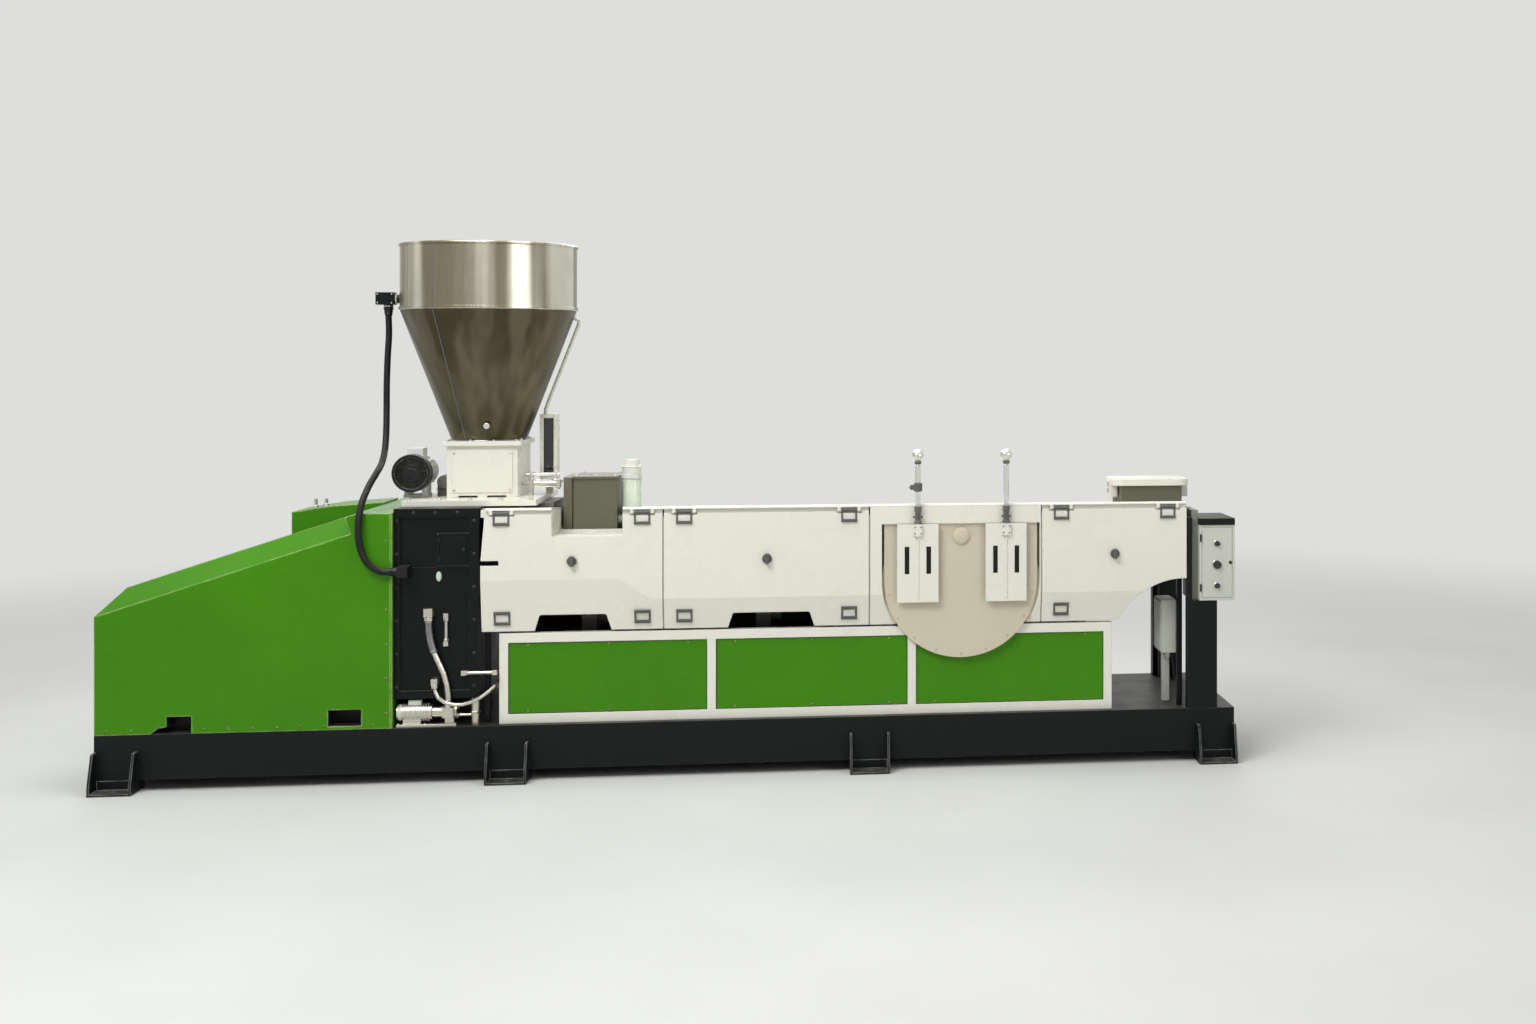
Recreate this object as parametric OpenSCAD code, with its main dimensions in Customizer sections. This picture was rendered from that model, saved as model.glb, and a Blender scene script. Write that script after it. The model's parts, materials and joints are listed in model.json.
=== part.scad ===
// Plastic extruder: motor hood, gearbox, hopper, guarded barrel, filter and outlet on one base frame.
// +X runs along the machine to its outlet, -Y is the operator's side, +Z is up, the floor is at z = 0.

/* [Base frame] */
// Length of the base frame beyond the guard at the outlet end
base_end_l = 265; // [240:5:600]
// Width over the two long rails
base_w = 1050; // [980:10:1200]
// Height of the frame's top above the floor
base_top = 289; // [260:1:340]
// Height of the rails
rail_h = 229; // [180:1:240]
// Width of the rails' flanges
rail_flange = 90; // [60:1:120]
// Thickness of the rails' steel
rail_t = 12; // [8:1:16]
// Number of cross members between the rails
cross_n = 8; // [6:1:10]
// Thickness of the deck plate
deck_t = 8; // [5:1:12]

/* [Feet] */
// Width of one foot bracket
foot_w = 210; // [160:5:260]
// Reach of a foot bracket beyond the rail
foot_out = 92; // [60:1:110]
// Thickness of the foot plates and gussets
foot_t = 12; // [8:1:16]
// Height of the gussets above the floor
foot_gusset_h = 205; // [150:5:220]
// Radius of an anchor hole
anchor_r = 11; // [8:0.5:14]
// Distance of the outer feet from the ends of the base frame
foot_end = 105; // [105:5:300]
// Distance of the inner foot from the gearbox
foot_inner_l = 150; // [100:5:300]
// Distance between the two inner feet
foot_pitch = 1875; // [1600:5:2100]

/* [Motor hood] */
// Length of the motor hood
hood_l = 1455; // [1300:5:1500]
// Height of the hood's flat top above the floor
hood_top = 1400; // [1300:5:1500]
// Length of the flat top beside the gearbox
hood_flat_l = 180; // [120:5:300]
// Angle of the sloping top
hood_slope = 18; // [12:0.5:20]
// Height of the bevelled shoulders
shoulder_h = 96; // [60:1:120]
// Width of the bevelled shoulders
shoulder_w = 115; // [70:1:150]
// Length of the vent box on the hood
hood_vent_l = 480; // [300:5:560]
// Width of the vent box on the hood
hood_vent_w = 330; // [250:5:400]
// Height of the vent box above the slope at its low end
hood_vent_h = 120; // [80:1:160]

/* [Gearbox] */
// Length of the gearbox cover
gear_l = 430; // [400:5:480]
// Width of the gearbox cover
gear_w = 1000; // [900:5:1040]
// Underside of the gearbox cover above the floor
gear_bottom = 435; // [400:1:480]
// Top of the gearbox cover above the floor
gear_top = 1420; // [1380:1:1440]
// Depth of the recess in the cover's end panels
gear_recess = 14; // [6:1:20]
// Thickness of the white plate on top
plate_t = 32; // [20:1:40]
// Length of the white plate on top
plate_l = 690; // [620:5:760]
// Width of the white plate on top
plate_w = 760; // [600:5:860]

/* [Barrel] */
// Height of the barrel's centre line above the floor
axis_z = 1075; // [1040:1:1100]
// Radius of the barrel
barrel_r = 85; // [70:1:100]
// Radius of the heater bands
heater_r = 135; // [120:1:150]
// Length of one heater band
heater_l = 250; // [180:5:270]
// Number of heater bands
heater_n = 6; // [4:1:6]
// Length of the feed casting next to the gearbox
feed_l = 330; // [280:5:360]
// Width of the feed casting
feed_w = 360; // [300:5:400]

/* [Guard] */
// Distance of the guard's sides inside the base frame's edges
guard_set = 0; // [0:1:40]
// Gap between the gearbox cover and the guard
guard_gap = 10; // [5:1:30]
// Height of the guard's roof at its operator's side
guard_top = 1420; // [1380:1:1440]
// Fall of the guard's roof towards the far side
roof_fall = 85; // [0:5:120]
// Thickness of the guard's sheets
sheet = 5; // [3:0.5:8]
// Depth of the edges turned in round the doors
return_d = 25; // [15:1:30]
// Gap round the doors
door_gap = 7; // [6:0.5:10]
// Width of the first door, next to the gearbox
door_1_l = 933; // [800:1:1000]
// Width of the second door
door_2_l = 1082; // [900:1:1150]
// Width of the filter bay
filter_l = 926; // [900:1:1000]
// Width of the third door, next to the outlet
door_3_l = 799; // [700:1:850]
// Height of the fold across the first door above the floor
fold_1_z = 1044; // [950:1:1100]
// Height of the fold across the other doors above the floor
fold_2_z = 935; // [880:1:1000]
// Length in which the first door's fold drops to the height of the others
fold_ease = 237; // [150:1:240]
// How far the doors lean in below the fold
lean_in = 40; // [20:1:60]
// Distance of the notch from the guard's end
notch_off = 361; // [330:1:380]
// Width of the notch for the vent box
notch_w = 363; // [300:1:400]
// Depth of the notch
notch_h = 150; // [100:1:200]
// How far the guard's upper corner beside the gearbox tapers in
corner_taper = 24; // [15:1:40]
// Length of the slot in the first door's edge
edge_slot_l = 92; // [60:1:110]
// Radius of the arch at the outlet end
arch_r = 405; // [340:1:430]
// Height of the arch's centre above the floor
arch_z = 595; // [560:1:640]

/* [Side panels] */
// Top of the white panel frame above the floor
frame_top = 762; // [740:1:800]
// Width of the frame's rails
frame_rail = 50; // [35:1:70]
// Width of the frame's posts
frame_post = 45; // [30:1:70]
// Depth of the frame
frame_d = 45; // [30:1:60]
// Distance from the frame's end to its first inner post
panel_1_l = 1070; // [900:5:1200]
// Distance between the frame's two inner posts
panel_2_l = 1061; // [900:5:1200]
// How far the green panels sit back
panel_set = 8; // [4:1:14]
// Thickness of the green panels
panel_t = 6; // [3:1:10]

/* [Filter] */
// Radius of the round filter cover
cover_r = 413; // [380:1:430]
// Height of the cover's centre above the floor
cover_z = 1005; // [980:1:1020]
// How far the cover sits back in the guard
cover_set = 15; // [10:1:20]
// Thickness of the cover
cover_t = 20; // [12:1:22]
// Top of the opening in the filter bay above the floor
bay_top = 1313; // [1280:1:1340]
// Width of one slide plate
slide_w = 222; // [180:1:260]
// Height of one slide plate
slide_h = 419; // [380:1:430]
// Thickness of one slide plate
slide_t = 12; // [8:1:14]
// Distance between the two slide plates' middles
slide_pitch = 475; // [440:1:500]
// Gap between the guard's face and the slide plates
slide_gap = 7; // [6:0.5:12]
// Width of the slots in the slide plates
slot_w = 25; // [20:1:30]
// Length of the slots in the slide plates
slot_l = 147; // [120:1:160]
// Radius of the balls on the lifting rods
ball_r = 33; // [25:1:40]
// Height of the balls above the floor
ball_z = 1680; // [1600:5:1750]
// Radius of the lifting rods
rod_r = 11; // [8:0.5:14]

/* [Hopper] */
// Distance of the hopper's centre from the gearbox cover's motor end
hopper_off = 390; // [380:1:400]
// Radius of the hopper
hopper_r = 465; // [400:5:500]
// Height of the hopper's rim above the floor
hopper_top = 2820; // [2700:5:2900]
// Height of the hopper's straight wall
hopper_wall_h = 355; // [300:5:420]
// Radius of the cone's outlet
outlet_r = 198; // [160:1:200]
// Thickness of the hopper's wall
hopper_t = 4; // [3:0.5:6]
// Width of the feed box
feed_box_w = 370; // [350:1:400]
// Depth of the feed box
feed_box_d = 410; // [380:1:440]
// Height of the feed box
feed_box_h = 278; // [240:1:320]
// Thickness of the feed box's walls
feed_box_t = 8; // [5:1:12]
// Thickness of the flange between the hopper and the feed box
flange_t = 25; // [15:1:35]

/* [Outlet end] */
// How far the outlet flange's face stands beyond the guard
outlet_l = 240; // [200:5:260]
// Radius of the melt pipe
melt_r = 90; // [70:1:110]
// Radius of the melt channel at the outlet
melt_bore_r = 40; // [30:1:50]
// Radius of the outlet flange
outlet_flange_r = 165; // [150:1:180]
// Thickness of the outlet flange
outlet_flange_t = 45; // [30:1:60]
// Radius of the circle of the outlet's bolt holes
outlet_pcr = 130; // [120:1:135]
// Radius of one bolt hole in the outlet flange
outlet_hole_r = 9; // [7:0.5:11]
// Number of bolt holes in the outlet flange
outlet_holes = 8; // [6:1:10]
// Width of the control box
control_w = 196; // [160:1:196]
// Height of the control box
control_h = 412; // [350:1:450]
// Depth of the control box
control_d = 335; // [260:5:340]
// Underside of the control box above the floor
control_z = 878; // [820:1:940]
// Width of the post under the control box
post_w = 140; // [100:1:160]

/* [Hidden] */
$fn = 48;
eps = 0.01;

// Lengthwise layout
guard_half = base_w / 2 - guard_set;
base_l = hood_l + gear_l + guard_gap + door_1_l + door_2_l + filter_l + door_3_l + base_end_l;
x_left = -base_l / 2;
hood_x1 = x_left + hood_l;
gear_x0 = hood_x1;
gear_x1 = gear_x0 + gear_l;
hopper_x = gear_x0 + hopper_off;
guard_x0 = gear_x1 + guard_gap;
door_1_x1 = guard_x0 + door_1_l;
door_2_x1 = door_1_x1 + door_2_l;
filter_x1 = door_2_x1 + filter_l;
guard_x1 = filter_x1 + door_3_l;
frame_x0 = guard_x0 + 89;
frame_x1 = guard_x1 - arch_r - 3;
bay_x = (door_2_x1 + filter_x1) / 2 + 28;
notch_x0 = guard_x0 + notch_off;
vent_x = notch_x0 + notch_w / 2;
face_low_y = -guard_half + lean_in;
post_y0 = face_low_y + frame_d + 5;

// Levels
rail_z0 = base_top - rail_h;
hinge_pin_r = 5;
knuckle_r = 9;
hinge_z = guard_top - 28;
lip_z = hinge_z + knuckle_r + 5;
hinge_y = -guard_half + sheet / 2;
door_top = hinge_z - door_gap;
door_bottom = frame_top + 10;

// Blocks and round bars along the three axes

module block(x0, x1, y0, y1, z0, z1) {
    translate([x0, y0, z0])
        cube([x1 - x0, y1 - y0, z1 - z0]);
}

module bar_x(x0, x1, y, z, r) {
    translate([x0, y, z])
        rotate([0, 90, 0])
            cylinder(r = r, h = x1 - x0);
}

module bar_y(x, y0, y1, z, r) {
    translate([x, y0, z])
        rotate([-90, 0, 0])
            cylinder(r = r, h = y1 - y0);
}

module bar_z(x, y, z0, z1, r) {
    translate([x, y, z0])
        cylinder(r = r, h = z1 - z0);
}

// Outline in X and Z, as thick as the stretch from y0 to y1
module plate_xz(y0, y1) {
    translate([0, y1, 0])
        rotate([90, 0, 0])
            linear_extrude(height = y1 - y0)
                children();
}

// Outline in Y and Z, as long as the stretch from x0 to x1
module profile_yz(x0, x1) {
    translate([x0, 0, 0])
        rotate([90, 0, 90])
            linear_extrude(height = x1 - x0)
                children();
}

// Skin over a row of rings, each with as many points, that turn left about the way ahead
module skin(rings) {
    n = len(rings[0]);
    points = [for (ring = rings) each ring];
    sides = [for (i = [0:len(rings) - 2])
        for (k = [0:n - 1])
            let (
                k2 = (k + 1) % n,
                a = i * n + k,
                b = (i + 1) * n + k,
                c = (i + 1) * n + k2,
                d = i * n + k2
            )
            each k < n / 2 ? [[a, b, c], [a, c, d]] : [[a, b, d], [b, c, d]]];
    first = [for (k = [0:n - 1]) k];
    last = [for (k = [n - 1:-1:0]) (len(rings) - 1) * n + k];
    polyhedron(points = points, faces = concat(sides, [first, last]));
}

tube_sides = 8;

function unit(v) = v / norm(v);
function heading(route, i) = unit(route[min(i + 1, len(route) - 1)] - route[max(i - 1, 0)]);
function ring_at(route, i, r) =
    let (
        h = heading(route, i),
        a = unit(cross(h, [0.3, -1, 0])),
        b = cross(h, a)
    )
    [for (k = [0:tube_sides - 1])
        route[i] + r * (cos(k * 360 / tube_sides) * a + sin(k * 360 / tube_sides) * b)];

// Round pipe or cable along a route of points
module tube(route, r) {
    skin([for (i = [0:len(route) - 1]) ring_at(route, i, r)]);
}

module both_sides() {
    children();
    mirror([0, 1, 0])
        children();
}

// Base frame

module base_rails() {
    color([0.09, 0.1, 0.09])
        both_sides()
            profile_yz(x_left, -x_left)
                difference() {
                    translate([-base_w / 2, rail_z0])
                        square([rail_flange, rail_h]);
                    translate([-base_w / 2 + rail_t, rail_z0 + rail_t])
                        square([rail_flange, rail_h - 2 * rail_t]);
                }
}

cross_w = 80;
cross_step = (base_l - cross_w) / (cross_n - 1);

// Deck plate with the cross members under it
module base_deck() {
    deck_half = base_w / 2 - rail_flange;
    color([0.1, 0.11, 0.1]) {
        block(x_left, -x_left, -deck_half, deck_half, base_top - deck_t, base_top);
        for (i = [0:cross_n - 1]) {
            x = x_left + i * cross_step;
            block(x, x + cross_w, -deck_half, deck_half, rail_z0, base_top);
        }
    }
}

foot_xs = [
    x_left + foot_end,
    gear_x1 + foot_inner_l,
    gear_x1 + foot_inner_l + foot_pitch,
    -x_left - foot_end
];
anchor_y = base_w / 2 + foot_out / 2;

module foot_bracket(x) {
    difference() {
        union() {
            block(x - foot_w / 2, x + foot_w / 2, -base_w / 2 - foot_out, -base_w / 2 + rail_flange, 0, foot_t);
            block(x - foot_w / 2, x + foot_w / 2, -base_w / 2, -base_w / 2 + rail_flange, foot_t, rail_z0);
            for (side = [-1, 1])
                translate([x + side * (foot_w - foot_t) / 2, 0, 0])
                    profile_yz(-foot_t / 2, foot_t / 2)
                        polygon([
                            [-base_w / 2, foot_t],
                            [-base_w / 2 - foot_out, foot_t],
                            [-base_w / 2 - foot_out, foot_t + 30],
                            [-base_w / 2 - 45, foot_gusset_h],
                            [-base_w / 2, foot_gusset_h]
                        ]);
        }
        bar_z(x, -anchor_y, -1, foot_t + 1, anchor_r);
    }
}

module foot_brackets() {
    color([0.13, 0.14, 0.13])
        both_sides()
            for (x = foot_xs)
                foot_bracket(x);
}

// Motor hood

hood_break_x = hood_x1 - hood_flat_l;
hood_left_z = hood_top - (hood_break_x - x_left) * tan(hood_slope);

module hood_outline() {
    polygon([
        [x_left, base_top],
        [hood_x1, base_top],
        [hood_x1, hood_top],
        [hood_break_x, hood_top],
        [x_left, hood_left_z]
    ]);
}

// Wedge that bevels the hood's long top edge, parallel to the slope
module shoulder_wedge() {
    reach = hood_l;
    translate([x_left, -base_w / 2, hood_left_z - shoulder_h])
        rotate([0, -hood_slope, 0])
            rotate([atan2(shoulder_h * cos(hood_slope), shoulder_w), 0, 0])
                translate([-reach, -reach, 0])
                    cube([reach + (hood_break_x - x_left) / cos(hood_slope) - 30, 2 * reach, reach]);
}

module hood_end_wedge() {
    reach = base_w;
    translate([x_left, 0, hood_left_z - shoulder_h])
        rotate([0, -atan2(shoulder_h + shoulder_w * tan(hood_slope), shoulder_w), 0])
            translate([-reach, -reach, 0])
                cube([2 * reach, 2 * reach, reach]);
}

port_depth = 120;
hood_flange_w = 12;
hood_flange_t = 3;
port_left_x = x_left + 348;
port_right_x = hood_x1 - 319;

module port_left() {
    polygon([
        [port_left_x - 79, base_top - 1],
        [port_left_x + 121, base_top - 1],
        [port_left_x + 121, base_top + 88],
        [port_left_x, base_top + 88],
        [port_left_x, base_top + 37],
        [port_left_x - 40, base_top + 30]
    ]);
}

module port_right() {
    translate([port_right_x, base_top + 18])
        square([165, 84]);
}

module motor_hood() {
    color([0.26, 0.52, 0.0]) {
        difference() {
            plate_xz(-base_w / 2, base_w / 2)
                hood_outline();
            both_sides()
                shoulder_wedge();
            hood_end_wedge();
            both_sides()
                plate_xz(-base_w / 2 - 1, -base_w / 2 + port_depth) {
                    port_left();
                    port_right();
                }
        }
        block(hood_x1 - hood_flange_w, hood_x1, -base_w / 2 - hood_flange_t, base_w / 2 + hood_flange_t,
            base_top, hood_top + hood_flange_t);
    }
}

hood_vent_x0 = hood_break_x - hood_vent_l;
hood_vent_y0 = 30;

hood_vent_flat = 210;
eyebolt_r = 9;
eyebolt_h = 34;

function slope_z(x) = hood_top - (hood_break_x - x) * tan(hood_slope);

// Vent box on the slope with two lifting studs on its top
module hood_vent_box() {
    z0 = slope_z(hood_vent_x0) + hood_vent_h;
    z1 = z0 + 32;
    color([0.28, 0.54, 0.05]) {
        plate_xz(hood_vent_y0, hood_vent_y0 + hood_vent_w)
            polygon([
                [hood_vent_x0, slope_z(hood_vent_x0)],
                [hood_break_x, hood_top],
                [hood_break_x, hood_top + 12],
                [hood_vent_x0 + hood_vent_flat, z1],
                [hood_vent_x0, z0]
            ]);
        for (x = [hood_vent_x0 + 110, hood_vent_x0 + 165])
            bar_z(x, hood_vent_y0 + 60, z0, z1 + eyebolt_h, eyebolt_r);
    }
}

// Gearbox

recess_in = 30;
recess_x1 = gear_x1 - 50;
hatch_w = 160;
hatch_h = 176;
hatch_rim = 10;
hatch_x0 = recess_x1 - hatch_w - 4;
hatch_z0 = gear_bottom + 680;
seam_w = 5;

// Raised rim of the square hatch in the cover's side
module hatch() {
    plate_xz(-gear_w / 2 + gear_recess - 8, -gear_w / 2 + gear_recess + 1)
        difference() {
            translate([hatch_x0, hatch_z0])
                square([hatch_w, hatch_h]);
            translate([hatch_x0 + hatch_rim, hatch_z0 + hatch_rim])
                square([hatch_w - 2 * hatch_rim, hatch_h - 2 * hatch_rim]);
        }
}

module gearbox_cover() {
    recess_y = -gear_w / 2 + gear_recess;
    color([0.07, 0.08, 0.08]) {
        difference() {
            block(gear_x0, gear_x1, -gear_w / 2, gear_w / 2, gear_bottom, gear_top);
            both_sides() {
                block(gear_x0 + recess_in, recess_x1, -gear_w / 2 - 1, recess_y, gear_bottom + 40, gear_top - 45);
                block(gear_x0 + recess_in, hatch_x0, recess_y - 1, recess_y + seam_w, hatch_z0, hatch_z0 + seam_w);
            }
        }
        both_sides()
            hatch();
    }
}

// Oil pump on the deck with its pipes up the cover's side

pump_in = 35;
pump_x0 = gear_x0 + 15;
pump_y = -gear_w / 2 + pump_in;
pump_z = base_top + 70;
pump_motor_l = 175;
pump_motor_r = 42;
pump_bell_l = 50;
pump_bell_r = 30;
pump_head_l = 75;
pump_head_r = 38;
pump_head_x0 = pump_x0 + pump_motor_l + pump_bell_l;
pump_head_x1 = pump_head_x0 + pump_head_l;
pump_filter_x = gear_x1 - 25;
pump_filter_r = 22;
face_y = -gear_w / 2 + gear_recess;
riser_r = 15;
riser_y = -gear_w / 2 - riser_r - 2;
drain_r = 10;
drain_y = min(-gear_w / 2 - 2 * riser_r - drain_r - 6, post_y0 - 2 * drain_r - 16);
pipe_r = 9;
pipe_x = gear_x0 + 263;
pipe_y = min(-gear_w / 2 - pipe_r - 3, post_y0 - 2 * pipe_r);
pipe_z = base_top + 276;
foot_x = gear_x1 + 80;
foot_clear = 1;

// Half width at height z of the leg under the feed casting, which takes the pipes' ends
function foot_face(z) = support_half - (support_half - support_neck) * (z - base_top) / (feed_z0 - support_head - base_top);

// Pipe fitting on the cover's face, from its middle at x and z out to y
module fitting(x, y, z, half) {
    block(x - half, x + half, y, face_y, z, z + 2 * half);
}

module pump_set() {
    block(pump_x0, pump_head_x1, pump_y - 45, pump_y + 45, base_top, base_top + 14);
    block(pump_x0 + 30, pump_x0 + 120, pump_y - 30, pump_y + 30, base_top, pump_z);
    block(pump_head_x0 + 15, pump_head_x1 - 15, pump_y - 25, pump_y + 25, base_top, pump_z);
    bar_x(pump_x0, pump_x0 + pump_motor_l, pump_y, pump_z, pump_motor_r);
    bar_x(pump_x0 + pump_motor_l, pump_head_x0, pump_y, pump_z, pump_bell_r);
    bar_x(pump_head_x0, pump_head_x1, pump_y, pump_z, pump_head_r);
    block(pump_head_x0 + 10, pump_head_x1 - 10, riser_y - 18, pump_y, pump_z - 20, pump_z + 30);
    bar_x(pump_head_x1 - 1, pump_filter_x, pump_y, pump_z - 20, pipe_r);
    bar_z(pump_filter_x, pump_y, base_top, gear_bottom - 6, pump_filter_r);
}

module riser_pipe() {
    fitting(gear_x0 + 179, riser_y - 18, gear_bottom + 425, 22);
    tube([
        [gear_x0 + 179, riser_y, gear_bottom + 427],
        [gear_x0 + 180, riser_y, gear_bottom + 365],
        [gear_x0 + 188, riser_y, gear_bottom + 300],
        [gear_x0 + 206, riser_y, gear_bottom + 240],
        [gear_x0 + 230, riser_y, gear_bottom + 185],
        [gear_x0 + 254, riser_y, gear_bottom + 130],
        [gear_x0 + 270, riser_y, gear_bottom + 70],
        [gear_x0 + 277, riser_y, gear_bottom + 15],
        [gear_x0 + 278, riser_y, pump_z + 28]
    ], riser_r);
}

module drain_pipe() {
    fitting(gear_x0 + 215, drain_y - 14, gear_bottom + 76, 16);
    tube([
        [gear_x0 + 215, drain_y, gear_bottom + 78],
        [gear_x0 + 218, drain_y, gear_bottom + 45],
        [gear_x0 + 234, drain_y, gear_bottom + 10],
        [gear_x0 + 268, drain_y, gear_bottom - 15],
        [gear_x0 + 315, drain_y, gear_bottom - 27],
        [gear_x0 + 355, drain_y, gear_bottom - 27],
        [gear_x0 + 400, drain_y, gear_bottom - 15],
        [gear_x0 + 445, drain_y + 2, gear_bottom + 7],
        [gear_x0 + 483, drain_y + 17, gear_bottom + 35],
        [gear_x0 + 503, drain_y + 52, gear_bottom + 55],
        [foot_x, drain_y + 102, gear_bottom + 65],
        [foot_x, drain_y + 162, gear_bottom + 68],
        [foot_x, -foot_face(gear_bottom + 68 - drain_r) - foot_clear, gear_bottom + 68]
    ], drain_r);
}

module oil_pump() {
    color([0.75, 0.74, 0.68]) {
        pump_set();
        riser_pipe();
        drain_pipe();
        bar_z(pipe_x, face_y - pipe_r - 3, gear_bottom + 290, gear_bottom + 425, pipe_r);
        fitting(pipe_x, face_y - 2 * pipe_r - 6, gear_bottom + 270, 12);
        fitting(pipe_x, face_y - 2 * pipe_r - 6, gear_bottom + 415, 12);
        bar_x(gear_x1 - 75, foot_x, pipe_y, pipe_z, pipe_r);
        fitting(gear_x1 - 75, pipe_y - 12, pipe_z - 12, 12);
        block(foot_x - 12, foot_x + 12, pipe_y - 12, pipe_y + 12, pipe_z - 12, pipe_z + 12);
        bar_y(foot_x, pipe_y, -foot_face(pipe_z - pipe_r) - foot_clear, pipe_z, pipe_r);
    }
}

plate_z1 = gear_top + plate_t;

module top_plate() {
    color([0.92, 0.91, 0.86])
        block(gear_x0 + 10, gear_x0 + 10 + plate_l, -plate_w / 2, plate_w / 2, gear_top, plate_z1);
}

// Feed section and hopper

feed_z0 = axis_z - 190;

module feed_casting() {
    color([0.5, 0.5, 0.48])
        difference() {
            block(gear_x1, gear_x1 + feed_l, -feed_w / 2, feed_w / 2, feed_z0, gear_top);
            bar_x(gear_x1 - 1, gear_x1 + feed_l + 1, 0, axis_z, barrel_r - 30);
        }
}

// Box under the hopper with its front and rear panels and the hopper's flange on top of it
module feed_box() {
    half_w = feed_box_w / 2;
    half_d = feed_box_d / 2;
    color([0.92, 0.91, 0.87])
        difference() {
            union() {
                block(hopper_x - half_w, hopper_x + half_w, -half_d, half_d, plate_z1, flange_z0);
                block(hopper_x - half_w + panel_in, hopper_x + half_w - panel_in,
                    -half_d - panel_out, half_d + panel_out, plate_z1 + panel_in, flange_z0 - panel_in);
                block(hopper_x - half_w - flange_over, hopper_x + half_w + flange_over,
                    -half_d - flange_over, half_d + flange_over, flange_z0, cone_z0);
            }
            block(hopper_x - half_w + feed_box_t, hopper_x + half_w - feed_box_t,
                -half_d + feed_box_t, half_d - feed_box_t, plate_z1 + feed_floor, flange_z0);
            bar_z(hopper_x, 0, flange_z0 - 1, cone_z0 + 1, outlet_r - hopper_t - 20);
            for (x = [-half_w + 60, half_w - 60 - foot_slot_l])
                block(hopper_x + x, hopper_x + x + foot_slot_l, -half_d - 1, half_d + 1,
                    plate_z1 - 1, plate_z1 + foot_slot_h);
        }
}

panel_in = 26;
panel_out = 4;
foot_slot_l = 100;
foot_slot_h = 10;
flange_z0 = plate_z1 + feed_box_h;
cone_z0 = flange_z0 + flange_t;
cone_z1 = hopper_top - hopper_wall_h;
flange_over = 20;
feed_floor = 20;

boss_r = 15;
boss_out = 18;
boss_x = hopper_x + 30;
boss_z = cone_z0 + 83;

function cone_r(z) = outlet_r + (hopper_r - outlet_r) * (z - cone_z0) / (cone_z1 - cone_z0);

module hopper_cone() {
    color([0.6, 0.58, 0.52]) {
        translate([hopper_x, 0, 0])
            rotate_extrude($fn = 96)
                polygon([
                    [outlet_r - hopper_t, cone_z0],
                    [outlet_r, cone_z0],
                    [hopper_r, cone_z1],
                    [hopper_r - hopper_t, cone_z1]
                ]);
        bar_y(boss_x, -cone_r(boss_z) - boss_out, -cone_r(boss_z) + hopper_t, boss_z, boss_r);
    }
}

rim_r = 9;

module hopper_cylinder() {
    color([0.78, 0.76, 0.7])
        translate([hopper_x, 0, 0])
            rotate_extrude($fn = 96) {
                translate([hopper_r - hopper_t, cone_z1])
                    square([hopper_t, hopper_wall_h - rim_r]);
                translate([hopper_r - hopper_t / 2, hopper_top - rim_r])
                    circle(r = rim_r, $fn = 24);
                translate([hopper_r - hopper_t, cone_z1])
                    square([hopper_t + 6, 14]);
            }
}

sensor_x1 = hopper_x - hopper_r + 1;
sensor_z = cone_z1 + 60;

module hopper_sensor() {
    color([0.7, 0.7, 0.68])
        difference() {
            union() {
                bar_x(sensor_x1 - 36, sensor_x1, 0, sensor_z, 24);
                block(sensor_x1 - 131, sensor_x1 - 36, -38, 38, sensor_z - 32, sensor_z + 35);
                bar_z(sensor_x1 - 71, 0, sensor_z - 47, sensor_z - 32, 23);
            }
            bar_z(hopper_x, 0, cone_z1, hopper_top, hopper_r);
        }
}

feeder_x = gear_x0 + 30;
feeder_z = plate_z1 + 135;
feeder_r = 100;
feeder_y0 = -250;
cowl_l = 60;
cowl_rim = 16;
cowl_depth = 18;
hub_r = 48;
feeder_body_r = 82;
feeder_body_l = 230;
fin_h = 10;
fin_t = 4;
fin_n = 18;
fin_l = 180;

// Feeder motor along Y: fan cowl with its hub in front, finned body, end bell, terminal box and foot
module feeder_motor() {
    cowl_y1 = feeder_y0 + cowl_l;
    color([0.8, 0.8, 0.76]) {
        difference() {
            bar_y(feeder_x, feeder_y0, cowl_y1, feeder_z, feeder_r);
            bar_y(feeder_x, feeder_y0 - 1, feeder_y0 + cowl_depth, feeder_z, feeder_r - cowl_rim);
        }
        bar_y(feeder_x, feeder_y0 + 4, feeder_y0 + cowl_depth + 1, feeder_z, hub_r);
        bar_y(feeder_x, cowl_y1 - 1, cowl_y1 + feeder_body_l, feeder_z, feeder_body_r);
        bar_y(feeder_x, cowl_y1 + feeder_body_l, cowl_y1 + feeder_body_l + 35, feeder_z, feeder_body_r - 18);
        for (i = [0:fin_n - 1])
            translate([feeder_x, cowl_y1 - 1, feeder_z])
                rotate([0, i * 360 / fin_n, 0])
                    translate([feeder_body_r - 4, 0, -fin_t / 2])
                        cube([fin_h + 4, fin_l, fin_t]);
        block(feeder_x - 40, feeder_x + 40, cowl_y1 + 40, cowl_y1 + 140,
            feeder_z + feeder_body_r - 8, feeder_z + feeder_r + 28);
        block(feeder_x - 60, feeder_x + 60, cowl_y1 + 30, cowl_y1 + 170, plate_z1, plate_z1 + 14);
        for (side = [-1, 1])
            block(feeder_x + side * 45 - 10, feeder_x + side * 45 + 10, cowl_y1 + 30, cowl_y1 + 170,
                plate_z1, feeder_z - 55);
    }
}

feeder_gear_y = -15;

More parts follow.
